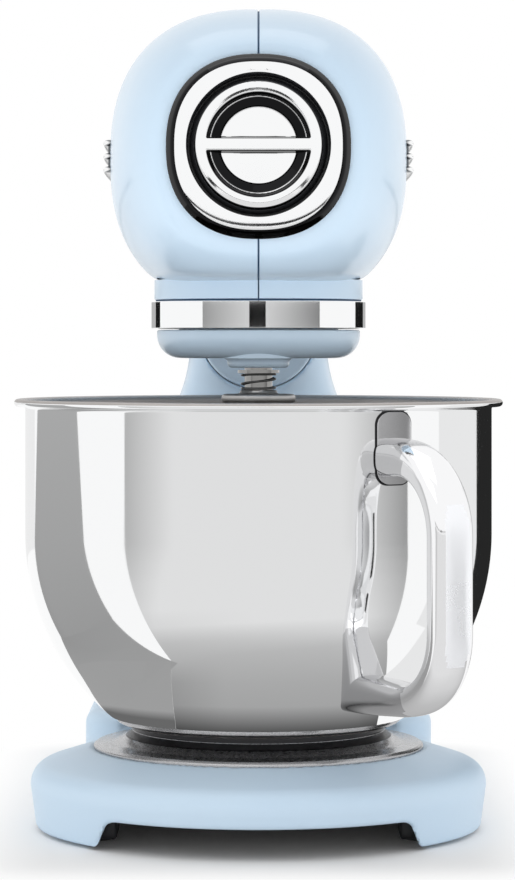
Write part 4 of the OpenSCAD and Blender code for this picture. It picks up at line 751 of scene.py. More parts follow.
def springs():
    """The springs of the tool shaft and of the release button."""
    lo, hi = cad("tool_spring")
    wire_r = 0.5
    verts, faces = coil(hi.x - wire_r, wire_r, hi.z - lo.z, 3.3)
    part = [(x, TOOL_Y + y, lo.z + z) for x, y, z in verts], faces
    spring("tool_spring", part)
    lo, hi = cad("release_spring")
    x0, z0, wire_r = (lo.x + hi.x) / 2, (lo.z + hi.z) / 2, 0.55
    verts, faces = coil((hi.x - lo.x) / 2 - wire_r, wire_r, hi.y - lo.y, 4.5)
    part = [(x0 + x, lo.y + z, z0 - y) for x, y, z in verts], faces
    spring("release_spring", part)


def beater_outline():
    """Corners of the paddle, with heights from its lower edge."""
    half = beater_hi.x / 52
    right = np.array([
        (0, 0), (14, 0), (22, 4), (30, 14), (38, 27), (45, 41), (50, 56), (52, 70), (51, 84),
        (46, 97), (37, 108), (24, 116), (10, 121), (0, 121),
    ], float) * (half, 1)
    return np.concatenate([right, right[::-1][1:-1] * (-1, 1)])


def to_outline(x, z):
    """Distance from the paddle's outline, below 0 inside it."""
    outline = beater_outline()
    best, inside = np.full(x.shape, 1e9), np.zeros(x.shape, bool)
    for (ax, az), (bx, bz) in zip(outline, np.roll(outline, -1, axis=0)):
        ex, ez = bx - ax, bz - az
        t = np.clip(((x - ax) * ex + (z - az) * ez) / (ex * ex + ez * ez), 0, 1)
        best = np.minimum(best, (x - ax - t * ex) ** 2 + (z - az - t * ez) ** 2)
        inside ^= ((az > z) != (bz > z)) & (x < ex * (z - az) / (ez if ez else 1e-9) + ax)
    return np.where(inside, -1, 1) * np.sqrt(best)


def beater_field(x, y, z):
    """Flat beater: rounded frame with a spine and two cross bars, a tube and a splash disc."""
    y = y - TOOL_Y
    edge = to_outline(x, z - beater_lo.z)
    rim = np.abs(edge + FRAME_HALF_W) - FRAME_HALF_W
    spine = np.maximum(np.abs(x) - FRAME_HALF_W, edge + 3)
    bar = np.maximum(np.minimum(np.abs(z - BAR_Z[0]), np.abs(z - BAR_Z[1])) - BAR_HALF_H, edge + 3)
    flat = smooth_min(smooth_min(rim, spine, 3), bar, 3)
    plate = round_corner(flat, np.abs(y) - PADDLE_HALF_THICK, 3.2)
    r = np.hypot(x, y)
    tube = np.maximum(r - TUBE_R, np.maximum(TUBE_LOW_Z - z, z - beater_hi.z))
    disc = np.hypot(np.maximum(r - DISC_R, 0), np.maximum(np.abs(z - DISC_Z) - 0.7, 0)) - 1.3
    solid = smooth_min(smooth_min(plate, tube, 4), disc, 1.5)
    bore = np.maximum(r - BORE_R, BORE_LOW_Z - z)
    across = np.abs(x * math.sin(SPLIT_TURN) - y * math.cos(SPLIT_TURN)) - SPLIT_HALF_W
    split = np.maximum(np.maximum(across, np.abs(z - SPLIT_Z) - SPLIT_HALF_H), BORE_LOW_Z - z)
    return smooth_max(smooth_max(solid, -bore, 0.5), -split, 0.4)


def beater():
    lo = (beater_lo.x, TOOL_Y - 17, beater_lo.z)
    hi = (beater_hi.x, TOOL_Y + 17, beater_hi.z)
    casting("cast_flat_beater", beater_field, lo, hi, 1.1, PADDLE, "flat_beater")


# ---------------------------------------------------------------- badge and trim


def squircle(radius, power, a):
    """Distance from the middle to a square-round outline at angle a."""
    return radius / (abs(math.cos(a)) ** power + abs(math.sin(a)) ** power) ** (1 / power)


def bezel():
    """Chrome badge frame: square-round outside, bevelled shoulder, crowned face and a round opening."""
    half, depth, opening = bezel_hi.x, NOSE_Y - bezel_lo.y, 30.2
    outside = [  # inset from the outline, height in front of the nose
        (0.5, 0.0), (0.1, 1.0), (0.0, 2.4), (0.0, depth - 6.0), (0.15, depth - 5.3), (0.45, depth - 4.8),
        (1.9, depth - 2.1), (2.4, depth - 1.5), (2.8, depth - 1.0), (3.3, depth - 0.5), (3.9, depth - 0.14),
        (5.2, depth - 0.05), (7.5, depth - 0.01),
    ]
    inside = [  # distance outside the opening, height
        (2.0, depth - 0.02), (0.5, depth - 0.1), (0.25, depth - 0.25), (0.1, depth - 1.1), (0.0, depth - 3.2),
        (-0.05, depth - 5.5), (-0.1, 2.0), (-12.4, 2.0), (-12.4, -11.9), (-9.2, -11.9), (-9.2, 0.0),
    ]
    turns = [2 * math.pi * step / 288 for step in range(288)]
    rings = []
    for inset, d in outside:
        reach = [(squircle(half, 2.3, a) - inset, a) for a in turns]
        rings.append([(r * math.cos(a), r * math.sin(a), d) for r, a in reach])
    for outset, d in inside:
        r, lift = opening + outset, 0.5 if d > 4 else 0.0
        rings.append([(r * math.cos(a), r * math.sin(a) + lift, d) for a in turns])
    part = forward(loft(rings, closed=True))
    obj = mesh("chrome_badge_frame", *part, BADGE_CHROME_PAINTED_DARK, "front_bezel", sharp=24)

    def well(face, x, y, z):
        return math.hypot(x, z - BADGE_Z) < 31.6 and NOSE_Y - y < depth - 0.2

    paint(obj, CHROME, lambda face, x, y, z: NOSE_Y - y < depth - 5 and abs(face.normal.y) < 0.3)
    # painted shade: the faces inside the round opening are coloured near black
    paint(obj, BLACK_PLASTIC_AND_PAINTED_SHADE, well)


def cover_height(x, y):
    """Height of the cover's front: ring, two D-shaped wells with walls in two steps, and a bar."""
    r = np.hypot(x, y - 0.5)
    ring = np.interp(r, *zip(
        (0, 6.1), (15.9, 5.7), (16.3, 5.75), (16.9, 6.3), (20.4, 8.05), (20.9, 8.15), (22.0, 9.85),
        (22.5, 10.1), (24.4, 10.25), (26.6, 10.1), (27.1, 9.8), (28.1, 6.9), (28.5, 6.0), (29.3, 3.6),
        (29.4, 2.2), (31, 0),
    ))
    beside = np.abs(y - 0.6) - 2.75
    bar = np.interp(beside, (-2.8, -0.35, 0.0, 0.85, 5), (10.12, 10.05, 9.8, 5.2, 3.0))
    return np.where(r < 22.6, smooth_max(ring, bar, 0.12), ring)


def cover_field(x, y, w):
    front = (w - cover_height(x, y)) * 0.4
    return np.maximum(np.maximum(front, 2.1 - w), np.hypot(x, y) - 29.45)


def cover():
    skin = implicit(cover_field, (-29.6, -29.6, 1.8), (29.6, 29.6, 10.6), 0.34)
    spigot = revolve(rounded([(15, -5, 0), (17.4, -5, 0.5), (17.4, 2.4, 0), (15, 2.4, 0)]), 96)
    part = merge(forward(skin), forward(spigot))
    obj = mesh("chrome_outlet_cover", *part, BADGE_CHROME_PAINTED_DARK, "outlet_cover", sharp=70, weigh=False)
    # painted shade: the cover's outer edge, down in the groove, is coloured near black
    paint(obj, BLACK_PLASTIC_AND_PAINTED_SHADE, lambda face, x, y, z: math.hypot(x, z - BADGE_Z) > 27.15 and y < NOSE_Y - 2.2)


def side_x(y):
    """Half width of the head at its widest height."""
    ahead = y < HEAD_WIDEST_Y
    tail = shell_hi.y - HEAD_WIDEST_Y
    reach = np.where(ahead, (HEAD_WIDEST_Y - y) / NOSE_TIP, (y - HEAD_WIDEST_Y) / tail)
    power = np.where(ahead, NOSE_POWER, TAIL_POWER)
    return HEAD_HALF_W * (1 - np.abs(reach) ** power) ** (1 / power)


def side_rib(lo, hi, proud, z):
    """One rib along the head's right side, run out at both ends."""
    rings = []
    for t in np.linspace(0, 1, 90):
        y = lo.y + 0.3 + (hi.y - lo.y - 0.6) * t
        end = math.sqrt(max(1e-4, 1 - (1 - min(1, 22 * min(t, 1 - t))) ** 2))
        x, half = side_x(y) - 0.4, 1.55 * (0.35 + 0.65 * end)
        ring = []
        for q in np.linspace(0, 2 * np.pi, 20, endpoint=False):
            back = 0.6 if math.cos(q) < 0 else 0
            out = (proud + 0.4) * end * max(0, math.cos(q)) ** 0.7
            ring.append((x + out - back, y, z + half * spow(math.sin(q), 0.8)))
        rings.append(ring)
    return loft(rings)


def side_ribs():
    """Three chrome ribs along each side of the head, on a thin carrier strip."""
    for word in ("right", "left"):
        lo, hi = cad(f"side_trim_{word}")
        outermost = hi.x if word == "right" else -lo.x
        proud, pitch, mid = outermost - side_x(HEAD_WIDEST_Y), 6, (lo.z + hi.z) / 2
        strip = []
        for t in np.linspace(0, 1, 60):
            y = lo.y + 5 + (hi.y - lo.y - 10) * t
            x = side_x(y)
            strip.append([(x + d, y, mid + h) for d, h in ((-1, -7), (0.9, -6.6), (0.9, 6.6), (-1, 7))])
        part = merge(*(side_rib(lo, hi, proud, mid + pitch * k) for k in (-1, 0, 1)), loft(strip))
        if word == "left":
            part = mirrored(part)
        mesh(f"chrome_ribs_{word}", *part, RIB_CHROME_PAINTED_DARK, f"side_trim_{word}")


def speed_control():
    """Scale plate with marks and numbers, and the sliding lever's knob."""
    half_w, y0, y1, low, top = scale_hi.x, scale_lo.y, scale_hi.y, scale_lo.z, scale_hi.z
    outline = rectangle(half_w, y0, y1, 4, steps=8)
    inner = rectangle(half_w - 0.5, y0 + 0.5, y1 - 0.5, 3.5, steps=8)
    levels = (outline, low), (outline, top - 0.5), (inner, top)
    rings = [[(x, y, z) for x, y in ring] for ring, z in levels]
    plate = mesh("speed_scale_plate", *loft(rings), SATIN_ALUMINIUM)
    cut(plate, prism(rectangle(LEVER_SLOT_HALF_W, *LEVER_SLOT_ENDS, 3), low - 2, top + 2))
    settle(plate, "speed_scale")
    travel, line = 40, 0.2
    for n in range(11):
        y = LEVER_Y + travel * n / 10
        length = 2.6 if n % 2 == 0 else 1.6
        mark = box_part(5, 5 + length, y - line, y + line, top - 0.02, top + 0.06)
        mesh(f"speed_mark_{n:02d}", *mark, BLACK_PLASTIC_AND_PAINTED_SHADE, body="head", slot="dark_plastic")
        if n % 2 == 0:
            number(str(n), 8.1, y, top + 0.03)
    knob()


def number(text, x, y, z):
    """Thin raised figures, made from a text curve."""
    curve = bpy.data.curves.new(f"digits_{text}", "FONT")
    curve.body, curve.size, curve.extrude = text, 3.4 * MM, 0.03 * MM
    curve.align_x, curve.align_y = "LEFT", "CENTER"
    made = add_object(f"digits_{text}", curve)
    made.location = (x * MM, y * MM + BOWL_Y, z * MM)
    bpy.context.view_layer.update()
    data = bpy.data.meshes.new_from_object(made.evaluated_get(bpy.context.evaluated_depsgraph_get()))
    data.transform(made.matrix_world)
    bpy.data.objects.remove(made)
    obj = add_object(f"speed_number_{text}", data)
    data.materials.append(BLACK_PLASTIC_AND_PAINTED_SHADE)
    settle(obj, body="head")


def knob():
    """Rounded lever knob on its stem."""
    low, top = scale_hi.z + 0.4, lever_hi.z
    levels = (0.5, low), (0, low + 0.5), (0, top - 1.6), (0.25, top - 0.8), (0.8, top - 0.25), (1.7, top)
    rings = []
    for inset, z in levels:
        w, d = 11.5 - inset, 5.5 - inset
        rings.append([
            (w * spow(math.cos(a), 0.62), LEVER_Y + d * spow(math.sin(a), 0.8), z)
            for a in np.linspace(0, 2 * np.pi, 64, endpoint=False)
        ])
    stem = box_part(-2.5, 2.5, LEVER_Y - 4, LEVER_Y + 4, 366, low + 0.1)
    slider = box_part(-7, 7, LEVER_Y - 5, LEVER_Y + 5, 363, 366.5)
    tail = box_part(-1.5, 1.5, LEVER_Y - 4, LEVER_Y + 4, 356, 363.2)
    mesh("speed_lever_knob", *merge(loft(rings), stem, slider, tail), CHROME, "speed_lever")


# ---------------------------------------------------------------- bowl

WALL_R = 105.5
CURVE_Z = 133
CURVE_R = 108
CURVE_X = WALL_R - CURVE_R
CURVE_END_Z = 48.7
SHEET = 1.2
BEAD_R = 1.65
HANDLE_TURN = math.radians(33)
GRIP_R = 145.5


def bowl_radius(z):
    """Outer radius of the bowl at a height."""
    tilt = np.clip((CURVE_Z - z) / CURVE_R, 0, 1)
    return CURVE_X + CURVE_R * np.sqrt(1 - tilt**2)


def bowl():
    """Thin bowl with a flat foot, a curved side, a straight wall and a rolled rim."""
    bead_z, low = bowl_hi.z - BEAD_R, bowl_lo.z
    crease = math.asin((CURVE_Z - CURVE_END_Z) / CURVE_R)
    profile = [(0, low), (57, low), (60, 46.6), (63.2, 47.6)]
    profile += arc(CURVE_X, CURVE_Z, CURVE_R, -crease, 0, 56)
    profile += [
        (WALL_R, 150), (WALL_R, 170), (WALL_R, 188.9), (WALL_R + 0.15, 189.5), (WALL_R + 0.6, 190),
        (WALL_R + 1.3, bead_z - BEAD_R + 0.1),
    ]
    profile += arc(bowl_hi.x - BEAD_R, bead_z, BEAD_R, -1.57, 1.9, 22)
    inner_r = WALL_R - SHEET
    profile += [
        (WALL_R + 0.9, bead_z + 1.35), (WALL_R - 0.5, bead_z + 0.6), (inner_r + 0.1, bead_z - 0.8),
        (inner_r, bead_z - 2.4), (inner_r, 160),
    ]
    profile += arc(CURVE_X, CURVE_Z, CURVE_R - SHEET, 0, 0.02 - crease, 56)
    profile += [(60.5, low + 2.4), (56, low + SHEET), (30, low + SHEET), (0, low + SHEET)]
    obj = mesh("polished_bowl", *revolve(profile, 320, closed=False), BOWL_STEEL, "bowl", sharp=50)

    def inner(face, x, y, z):
        wall = bowl_radius(min(z, bowl_hi.z)) - SHEET / 2
        return math.hypot(x, y) < wall and z > low + SHEET / 2 or z > bead_z + 0.35

    # painted shade on the bowl's inside and the rim's top
    paint(obj, BOWL_INSIDE_PAINTED_SHADE, inner)


def bowl_foot():
    """Foot ring whose waist is painted near black as shade, and three lugs that lock it into the base."""
    flange, low, top, waist = foot_hi.x, foot_lo.z, foot_hi.z, 57
    profile = rounded([
        (waist, top, 0), (waist, 44.2, 1.5), (waist + 2.6, 41.4, 2.5), (66, 38.9, 6),
        (flange - 1.4, 38.2, 1.2), (flange, 37.2, 0.9), (flange, low, 0.3), (flange - 1.6, low, 0.2),
        (flange - 1.8, 36.8, 0.4), (66, 37.5, 3), (58.6, 40.2, 2), (waist - 1.2, 43.8, 1),
        (waist - 1.2, top, 0),
    ])
    lug = [(51.6, 36.1), (60, 36.1), (66, 36.4), (66, 37.8), (60, 40.2), (59.4, 37.9), (51.6, 37.9)]
    lugs = [revolve(lug, 24, a0=a - 12, a1=a + 12) for a in (90, 210, 330)]
    obj = mesh("bowl_foot_ring", *merge(revolve(profile, 256), *lugs), FLANGE_STEEL, "bowl_foot")

    def neck(face, x, y, z):
        r = math.hypot(x, y)
        return 56.5 < r < 63 and z > 38.3 and r < waist + 0.2 + max(0, 44 - z) * 1.3

    # painted shade on the waist under the flange
    paint(obj, PAINTED_SHADE_GREY, neck)


def handle_path():
    """Stations from the upper end to the lower: (distance from the axis, height, direction)."""
    upper_z, lower_z, upper_bend, lower_bend = 169.7, 67.6, 32, 30
    path = [(r, upper_z, 0) for r in np.linspace(WALL_R, GRIP_R - upper_bend, 6)[:-1]]
    angles = np.linspace(math.pi / 2, 0, 22)
    bend = arc(GRIP_R - upper_bend, upper_z - upper_bend, upper_bend, math.pi / 2, 0, 22)
    path += [(r, z, a - math.pi / 2) for (r, z), a in zip(bend, angles)]
    straight = np.linspace(upper_z - upper_bend, lower_z + lower_bend, 12)[1:-1]
    path += [(GRIP_R, z, -math.pi / 2) for z in straight]
    bend = arc(GRIP_R - lower_bend, lower_z + lower_bend, lower_bend, 0, -math.pi / 2, 22)
    path += [(r, z, a - math.pi) for (r, z), a in zip(bend, angles)]
    path += [(r, lower_z, -math.pi) for r in np.linspace(GRIP_R - lower_bend, 84, 8)[1:]]
    return np.array(path)


def handle():
    """Cast handle: deeper arms, a flatter grip, and ends shaped to the bowl."""
    half_w, roundness = 9.8, 2.9
    path = handle_path()
    run = np.concatenate([[0], np.cumsum(np.hypot(*np.diff(path[:, :2], axis=0).T))])
    run /= run[-1]
    sin, cos = math.sin(HANDLE_TURN), math.cos(HANDLE_TURN)
    rings = []
    for k, ((r, z, direction), t) in enumerate(zip(path, run)):
        depth = 8.5 - 2.0 * float(ease(t / 0.2) * ease((1 - t) / 0.26))
        ring = []
        for q in np.linspace(0, 2 * np.pi, 56, endpoint=False):
            a, b = depth * spow(math.cos(q), 2 / roundness), half_w * spow(math.sin(q), 2 / roundness)
            pr, pz = r + a * math.sin(direction), z - a * math.cos(direction)
            if k == 0:
                pr = math.sqrt((WALL_R + 0.9) ** 2 - b * b)
            if k == len(path) - 1:
                pr = math.sqrt((bowl_radius(pz) - 0.2) ** 2 - b * b)
            ring.append((pr * sin - b * cos, -pr * cos - b * sin, pz))
        rings.append(ring)
    obj = mesh("bowl_handle_grip", *loft(rings), HANDLE_STEEL, "bowl_handle", sharp=60)
    way = Vector((sin, -cos, 0))

    def grip(face, x, y, z):
        return face.normal.dot(way) > 0.93

    def arm(face, x, y, z):
        return x * sin - y * cos < GRIP_R - 21 and not grip(face, x, y, z)

    # painted sheen on the grip's outer face, painted shade on the arms
    paint(obj, HANDLE_GRIP_PAINTED_SHEEN, grip)
    paint(obj, HANDLE_ARM_PAINTED_SHADE, arm)


def curved_plate(grow, proud):
    """Plate with round corners on the bowl's wall behind the handle's upper arm."""
    corner, low, top = 6, 158.5 - grow, 189.2 + grow
    half, r0, r1 = 8.9 + grow, WALL_R - 0.2, WALL_R + proud
    rings = []
    for z in low + (top - low) * (0.5 - 0.5 * np.cos(np.pi * np.linspace(0, 1, 40))):
        near_end = max(0, corner - min(z - low, top - z))
        w = half - corner + math.sqrt(max(0, corner**2 - near_end**2))
        outline = [(r0, -w), (r1 - 0.12, -w), (r1, 0.15 - w)]
        outline += [(r1, b) for b in np.linspace(0.6 - w, w - 0.6, 13)]
        outline += [(r1, w - 0.15), (r1 - 0.12, w), (r0, w)]
        turns = [(r, HANDLE_TURN + b / r) for r, b in outline]
        rings.append([(r * math.sin(a), -r * math.cos(a), z) for r, a in turns])
    return loft(rings)


def handle_plate():
    """Plate behind the upper arm in the arms' darker copy, with a rim of painted shade round it."""
    mesh("handle_mount_plate", *curved_plate(0, 1.0), HANDLE_ARM_PAINTED_SHADE, "handle_plate")
    # painted shade: a slightly larger dark plate shows as a dark line round the plate
    joint = curved_plate(0.55, 0.35)
    mesh("handle_plate_shade_rim", *joint, PAINTED_SHADE_GREY, body=BODY_OF["handle_plate"], slot="bowl_steel")


# ---------------------------------------------------------------- column, tongue and base

SLOT_R = 29.2
FORK_ROUND = 20.5
PIN_RECESS_R, PIN_RECESS_X = 8.05, 32.4
PIN_BORE_R = 7.5
BUTTON_HOLE_R, BUTTON_HOLE_Y, BUTTON_Z = 8.3, 193, 165
COLUMN_ROWS = np.array([  # height, half width, front, rear
    (44.7, 71, 97, 238), (50, 69.5, 98, 237.5), (60, 67.3, 99.5, 236), (80, 63.5, 102.5, 232.5),
    (105, 59.2, 106, 227.5), (130, 55, 109.5, 221.5), (150, 51.3, 112, 216), (170, 46.8, 114, 210),
    (185, 42.3, 115.3, 205), (202, 36.6, 116.5, 199.5), (222, 33.8, 117, 196.6), (245.5, 33.3, 117, 195.5),
])
TONGUE_FRONT_Y = 117
TONGUE_TOP_Z = UNDERSIDE_Z + 2.5
SEAT_R, SEAT_Z = 75.1, 35.5
RECESS_R, RECESS_Z = 53, 31.5
BASE_WALL = 4.5
ARCH_HALF_W, ARCH_TOP_Z, ARCH_BACK_Y, ARCH_FLARE, ARCH_FLARE_Z = 66.5, 13.4, -52, 0.36, 9.4
GLAND_R, GLAND_X, GLAND_Z, GLAND_Y = 6.2, 40, 25, 235


def along_rows(z, column):
    """Smooth value from the column's table at heights z."""
    heights, values = COLUMN_ROWS[:, 0], COLUMN_ROWS[:, column]
    slopes = np.gradient(values, heights)
    i = np.clip(np.searchsorted(heights, z) - 1, 0, len(heights) - 2)
    h = heights[i + 1] - heights[i]
    t = np.clip((z - heights[i]) / h, 0, 1)
    a = (1 + 2 * t) * (1 - t) ** 2 * values[i] + t * (1 - t) ** 2 * h * slopes[i]
    return a + t * t * (3 - 2 * t) * values[i + 1] + t * t * (t - 1) * h * slopes[i + 1]


def column_field(x, y, z):
    """Column that narrows upward, with the fork's slot, its rounded top and the pin's recesses."""
    w, front, rear = (along_rows(z, k) for k in (1, 2, 3))
    mid, half, power = (front + rear) / 2, (rear - front) / 2, 3.2
    share = (np.abs(x / w) ** power + np.abs((y - mid) / half) ** power) ** (1 / power)
    flare = 2.2 * np.clip(1 - (z - column_lo.z) / 3.2, 0, 1) ** 2
    body = (share - 1) * np.minimum(w, half) - flare
    body = np.maximum(smooth_max(body, z - column_hi.z, 1.6), column_lo.z - z)
    dy, dz = y - PIVOT_Y, z - PIVOT_Z
    slot = np.where(dz < 0, np.hypot(x, dz), np.abs(x)) - SLOT_R
    solid = smooth_max(body, -slot, 1.5)
    corner = np.where(dy > 0, np.hypot(dy, dz), dy) - FORK_ROUND
    solid = smooth_max(solid, np.where(dz > 0, corner, -50), 1.2)
    recess = np.maximum(np.hypot(dy, dz) - PIN_RECESS_R, PIN_RECESS_X - np.abs(x))
    button = np.maximum(np.hypot(x, z - BUTTON_Z) - BUTTON_HOLE_R, BUTTON_HOLE_Y - y)
    return smooth_max(smooth_max(solid, -recess, 0.5), -button, 0.8)


def column():
    lo, hi = (-74, 94, column_lo.z), (74, 241, column_hi.z)
    casting("column_casting", column_field, lo, hi, 1.4, PAINT, "column_shell")


def tongue_field(x, y, z):
    """Head's tongue: a U in front view, a ball about the pivot behind."""
    dy, dz = y - PIVOT_Y, z - PIVOT_Z
    front = np.maximum(np.where(dz < 0, np.hypot(x, dz), np.abs(x)) - TONGUE_R, dy)
    ball = np.sqrt(x**2 + dy**2 + dz**2) - TONGUE_R
    back = np.maximum(np.maximum(np.abs(x) - TONGUE_R, (dy - dz) * 0.707), -dy)
    solid = np.minimum(np.minimum(front, ball), back)
    ends = np.maximum(TONGUE_FRONT_Y - y, np.maximum(dy - FORK_ROUND + 0.2, z - TONGUE_TOP_Z))
    solid = smooth_max(solid, ends, 1.8)
    return smooth_max(solid, PIN_BORE_R - np.hypot(dy, dz), 0.5)


def tongue():
    lo = (-TONGUE_R, TONGUE_FRONT_Y, PIVOT_Z - TONGUE_R)
    hi = (TONGUE_R, PIVOT_Y + FORK_ROUND, TONGUE_TOP_Z)
    casting("tilt_tongue", tongue_field, lo, hi, 1.0, PAINT, "hinge_tongue")


def base_outside(x, y, z):
    """Round front with a soft shoulder, joined to the rear block."""
    r = np.hypot(x, y)
    shoulder, top, block_top = 19.8, 36.5, 44.7
    draft = np.clip(shoulder - z, 0, 20) * 0.137
    slope = (r - SEAT_R) * 0.302 + (z - top) * 0.953
    deck = np.where(r < SEAT_R, np.maximum(z - top, slope), slope)
    disc = smooth_max(r - base_hi.x + draft, deck, 7.7)
    half_w, y0, y1, rear_r, front_r, edge = 82, 46, 245, 40, 22, 6
    mid, half_len = (y0 + y1) / 2, (y1 - y0) / 2
    corner = np.where(y > mid, rear_r, front_r)
    plan = round_corner(np.abs(x) - half_w, np.abs(y - mid) - half_len, corner)
    block = round_corner(plan, z - block_top, edge)
    block = smooth_max(block, np.where(z > 20.5, 80 - r, -30), 2.0)
    return smooth_min(disc, block, 5)


def base_field(x, y, z):
    """Base casting: open below, with the bowl's seat, an arch in front and the cord's hole."""
    r = np.hypot(x, y)
    outside = base_outside(x, y, z)
    roof = np.where(y > 88, 40.2, 27.0)
    cavity = smooth_max(outside + BASE_WALL, z - roof, 2.0)
    pads = np.maximum(62 - np.abs(x), y + 24)
    cavity = smooth_max(cavity, -pads, 3)
    solid = smooth_max(smooth_max(outside, 1.5 - z, 1.0), -cavity, 1.0)
    solid = smooth_max(solid, -np.maximum(r - SEAT_R, SEAT_Z - z), 0.6)
    solid = smooth_max(solid, -np.maximum(r - RECESS_R, RECESS_Z - z), 0.6)
    flare = ARCH_FLARE * (ARCH_FLARE_Z - np.minimum(z, ARCH_FLARE_Z))
    arch = smooth_max(np.abs(x) - ARCH_HALF_W - flare, z - ARCH_TOP_Z, 6)
    arch = np.maximum(arch, y - ARCH_BACK_Y)
    gland = np.maximum(np.hypot(x - GLAND_X, z - GLAND_Z) - GLAND_R, GLAND_Y - y)
    return smooth_max(smooth_max(solid, -arch, 2.0), -gland, 0.4)


def base():
    lo, hi = (-104, -104, 0.5), (104, 246, 45.5)
    obj = casting("base_casting_skin", base_field, lo, hi, 1.45, BASE_PAINT, "base_casting")

    def under_arch(face, x, y, z):
        return z < 16 and y < -20 and math.hypot(x, y) < base_hi.x - 3.2 and abs(x) < 72.5

    # painted shade: the faces under the front arch are coloured near black
    paint(obj, BLACK_PLASTIC_AND_PAINTED_SHADE, under_arch)


# ---------------------------------------------------------------- nodes kept from CAD


def finish_cad_nodes():
    """Each CAD node that is still shown takes its own material or that of its slot."""
    for name, obj in frame["nodes"].items():
        obj.data.materials.clear()
        obj.data.materials.append(MATERIAL_OF_NODE.get(name, MATERIAL_OF_SLOT[SLOT_OF[name]]))


# ---------------------------------------------------------------- studio

TABLE_Z = 50
SIDE_TOP_Z = 194
WALL_TOP_Z = 196
FAR = 1400
FLOOR_LIFT = 0.005
FLOOR_SHADE_HALF = (0.085, 0.175, 0)
FLOOR_FADE = 0.055
FOOT_R = 67


def seen(tree):
    """1 where the camera, a reflection or a transmission looks."""
    path = add_node(tree, "LightPath").outputs
    either = add_node(tree, "Math", "MAXIMUM", in0=path["Is Camera Ray"], in1=path["Is Glossy Ray"])
    either = add_node(tree, "Math", "MAXIMUM", in0=either.outputs[0], in1=path["Is Transmission Ray"])
    return either.outputs[0]


def white_world():
    """White background that lights surfaces more softly than it looks."""
    world = bpy.data.worlds.new("studio")
    bpy.context.scene.world = world
    world.use_nodes = True
    tree = world.node_tree
    tree.nodes.clear()
    soft = add_node(tree, "Background", Color=WHITE, Strength=0.62)
    white = add_node(tree, "Background", Color=WHITE, Strength=1)
    mix = add_node(tree, "MixShader", in0=seen(tree), in1=soft.outputs[0], in2=white.outputs[0])
    add_node(tree, "OutputWorld", Surface=mix.outputs[0])


def floor():
    """Pale floor that keeps the mixer's shadow and fades into the white background."""
    corners = [(x, y, 0) for x, y in ((-6, -6), (6, -6), (6, 6), (-6, 6))]
    data = bpy.data.meshes.new("floor")
    data.from_pydata(corners, [], [(0, 1, 2, 3)])
    material, tree = node_material("studio_floor")
    bsdf = tree.nodes["Principled BSDF"]
    bsdf.inputs["Base Color"].default_value = (0.94, 0.94, 0.94, 1)
    bsdf.inputs["Roughness"].default_value = 0.6
    bsdf.inputs["Specular IOR Level"].default_value = 0.0
    looked_at = seen(tree)
    lift = add_node(tree, "Math", "MULTIPLY", in0=looked_at, in1=FLOOR_LIFT)
    glow = add_node(tree, "Emission", Color=WHITE, Strength=lift.outputs[0])
    near = add_node(tree, "AddShader", in0=bsdf.outputs[0], in1=glow.outputs[0])
    white = add_node(tree, "Emission", Color=WHITE, Strength=1)
    place = add_node(tree, "NewGeometry").outputs["Position"]
    place = add_node(tree, "VectorMath", "ABSOLUTE", in0=place).outputs[0]
    place = add_node(tree, "VectorMath", "SUBTRACT", in0=place, in1=FLOOR_SHADE_HALF).outputs[0]
    place = add_node(tree, "VectorMath", "MAXIMUM", in0=place, in1=(0, 0, 0)).outputs[0]
    away = add_node(tree, "VectorMath", "LENGTH", in0=place)
    edge = add_node(tree, "MapRange", Value=away.outputs["Value"], From_Min=0, From_Max=FLOOR_FADE)
    edge.interpolation_type = "SMOOTHSTEP"
    fade = add_node(tree, "Math", "MULTIPLY", in0=edge.outputs["Result"], in1=looked_at)
    mix = add_node(tree, "MixShader", in0=fade.outputs[0], in1=near.outputs[0], in2=white.outputs[0])
    tree.links.new(mix.outputs[0], tree.nodes["Material Output"].inputs["Surface"])
    data.materials.append(material)
    add_object("floor", data)


def lamp(name, place, target, size, power):
    data = bpy.data.lights.new(name, "AREA")
    data.shape = "RECTANGLE"
    data.size, data.size_y = size
    data.energy = power
    obj = add_object(name, data)
    obj.location = place
    obj.rotation_euler = (Vector(target) - Vector(place)).to_track_quat("-Z", "Y").to_euler()
    return obj


def lamps():
    """Softboxes above, and low ones that no reflection sees."""
    lamp("key_softbox", (-0.55, BOWL_Y - 0.9, 1.35), (0, BOWL_Y, 0.25), (1.3, 0.8), 1.4)
    lamp("top_softbox", (0, 0, 1.6), (0, 0, 0.2), (1.4, 1.4), 6.0)
    aim, size = (0, 0, 0.28), (1.3, 0.5)
    low = [
        lamp("low_front_softbox", (0, BOWL_Y - 0.85, 0.03), (0, BOWL_Y - 0.03, 0.28), size, 2.6),
        lamp("table_front_softbox", (0, BOWL_Y - 0.5, 0.02), (0, BOWL_Y - 0.46, 1), (0.9, 0.3), 1.5),
        lamp("low_left_softbox", (-0.8, 0, 0.03), aim, size, 3.3),
        lamp("low_right_softbox", (0.8, 0, 0.03), aim, size, 3.3),
        lamp("low_back_softbox", (0, 0.95, 0.03), aim, size, 4.4),
    ]
    for obj in low:
        obj.visible_glossy = False
        obj.visible_camera = False


def card_material(name, one_sided):
    """Emission as bright as each point's tone. A one-sided card is clear from behind."""
    material, tree = node_material(name)
    tree.nodes.clear()
    tone = add_node(tree, "Attribute")
    tone.attribute_name = "tone"
    shader = add_node(tree, "Emission", Strength=tone.outputs["Fac"])
    if one_sided:
        behind = add_node(tree, "NewGeometry").outputs["Backfacing"]
        clear = add_node(tree, "BsdfTransparent")
        shader = add_node(tree, "MixShader", in0=behind, in1=shader.outputs[0], in2=clear.outputs[0])
    add_node(tree, "OutputMaterial", Surface=shader.outputs[0])
    return material


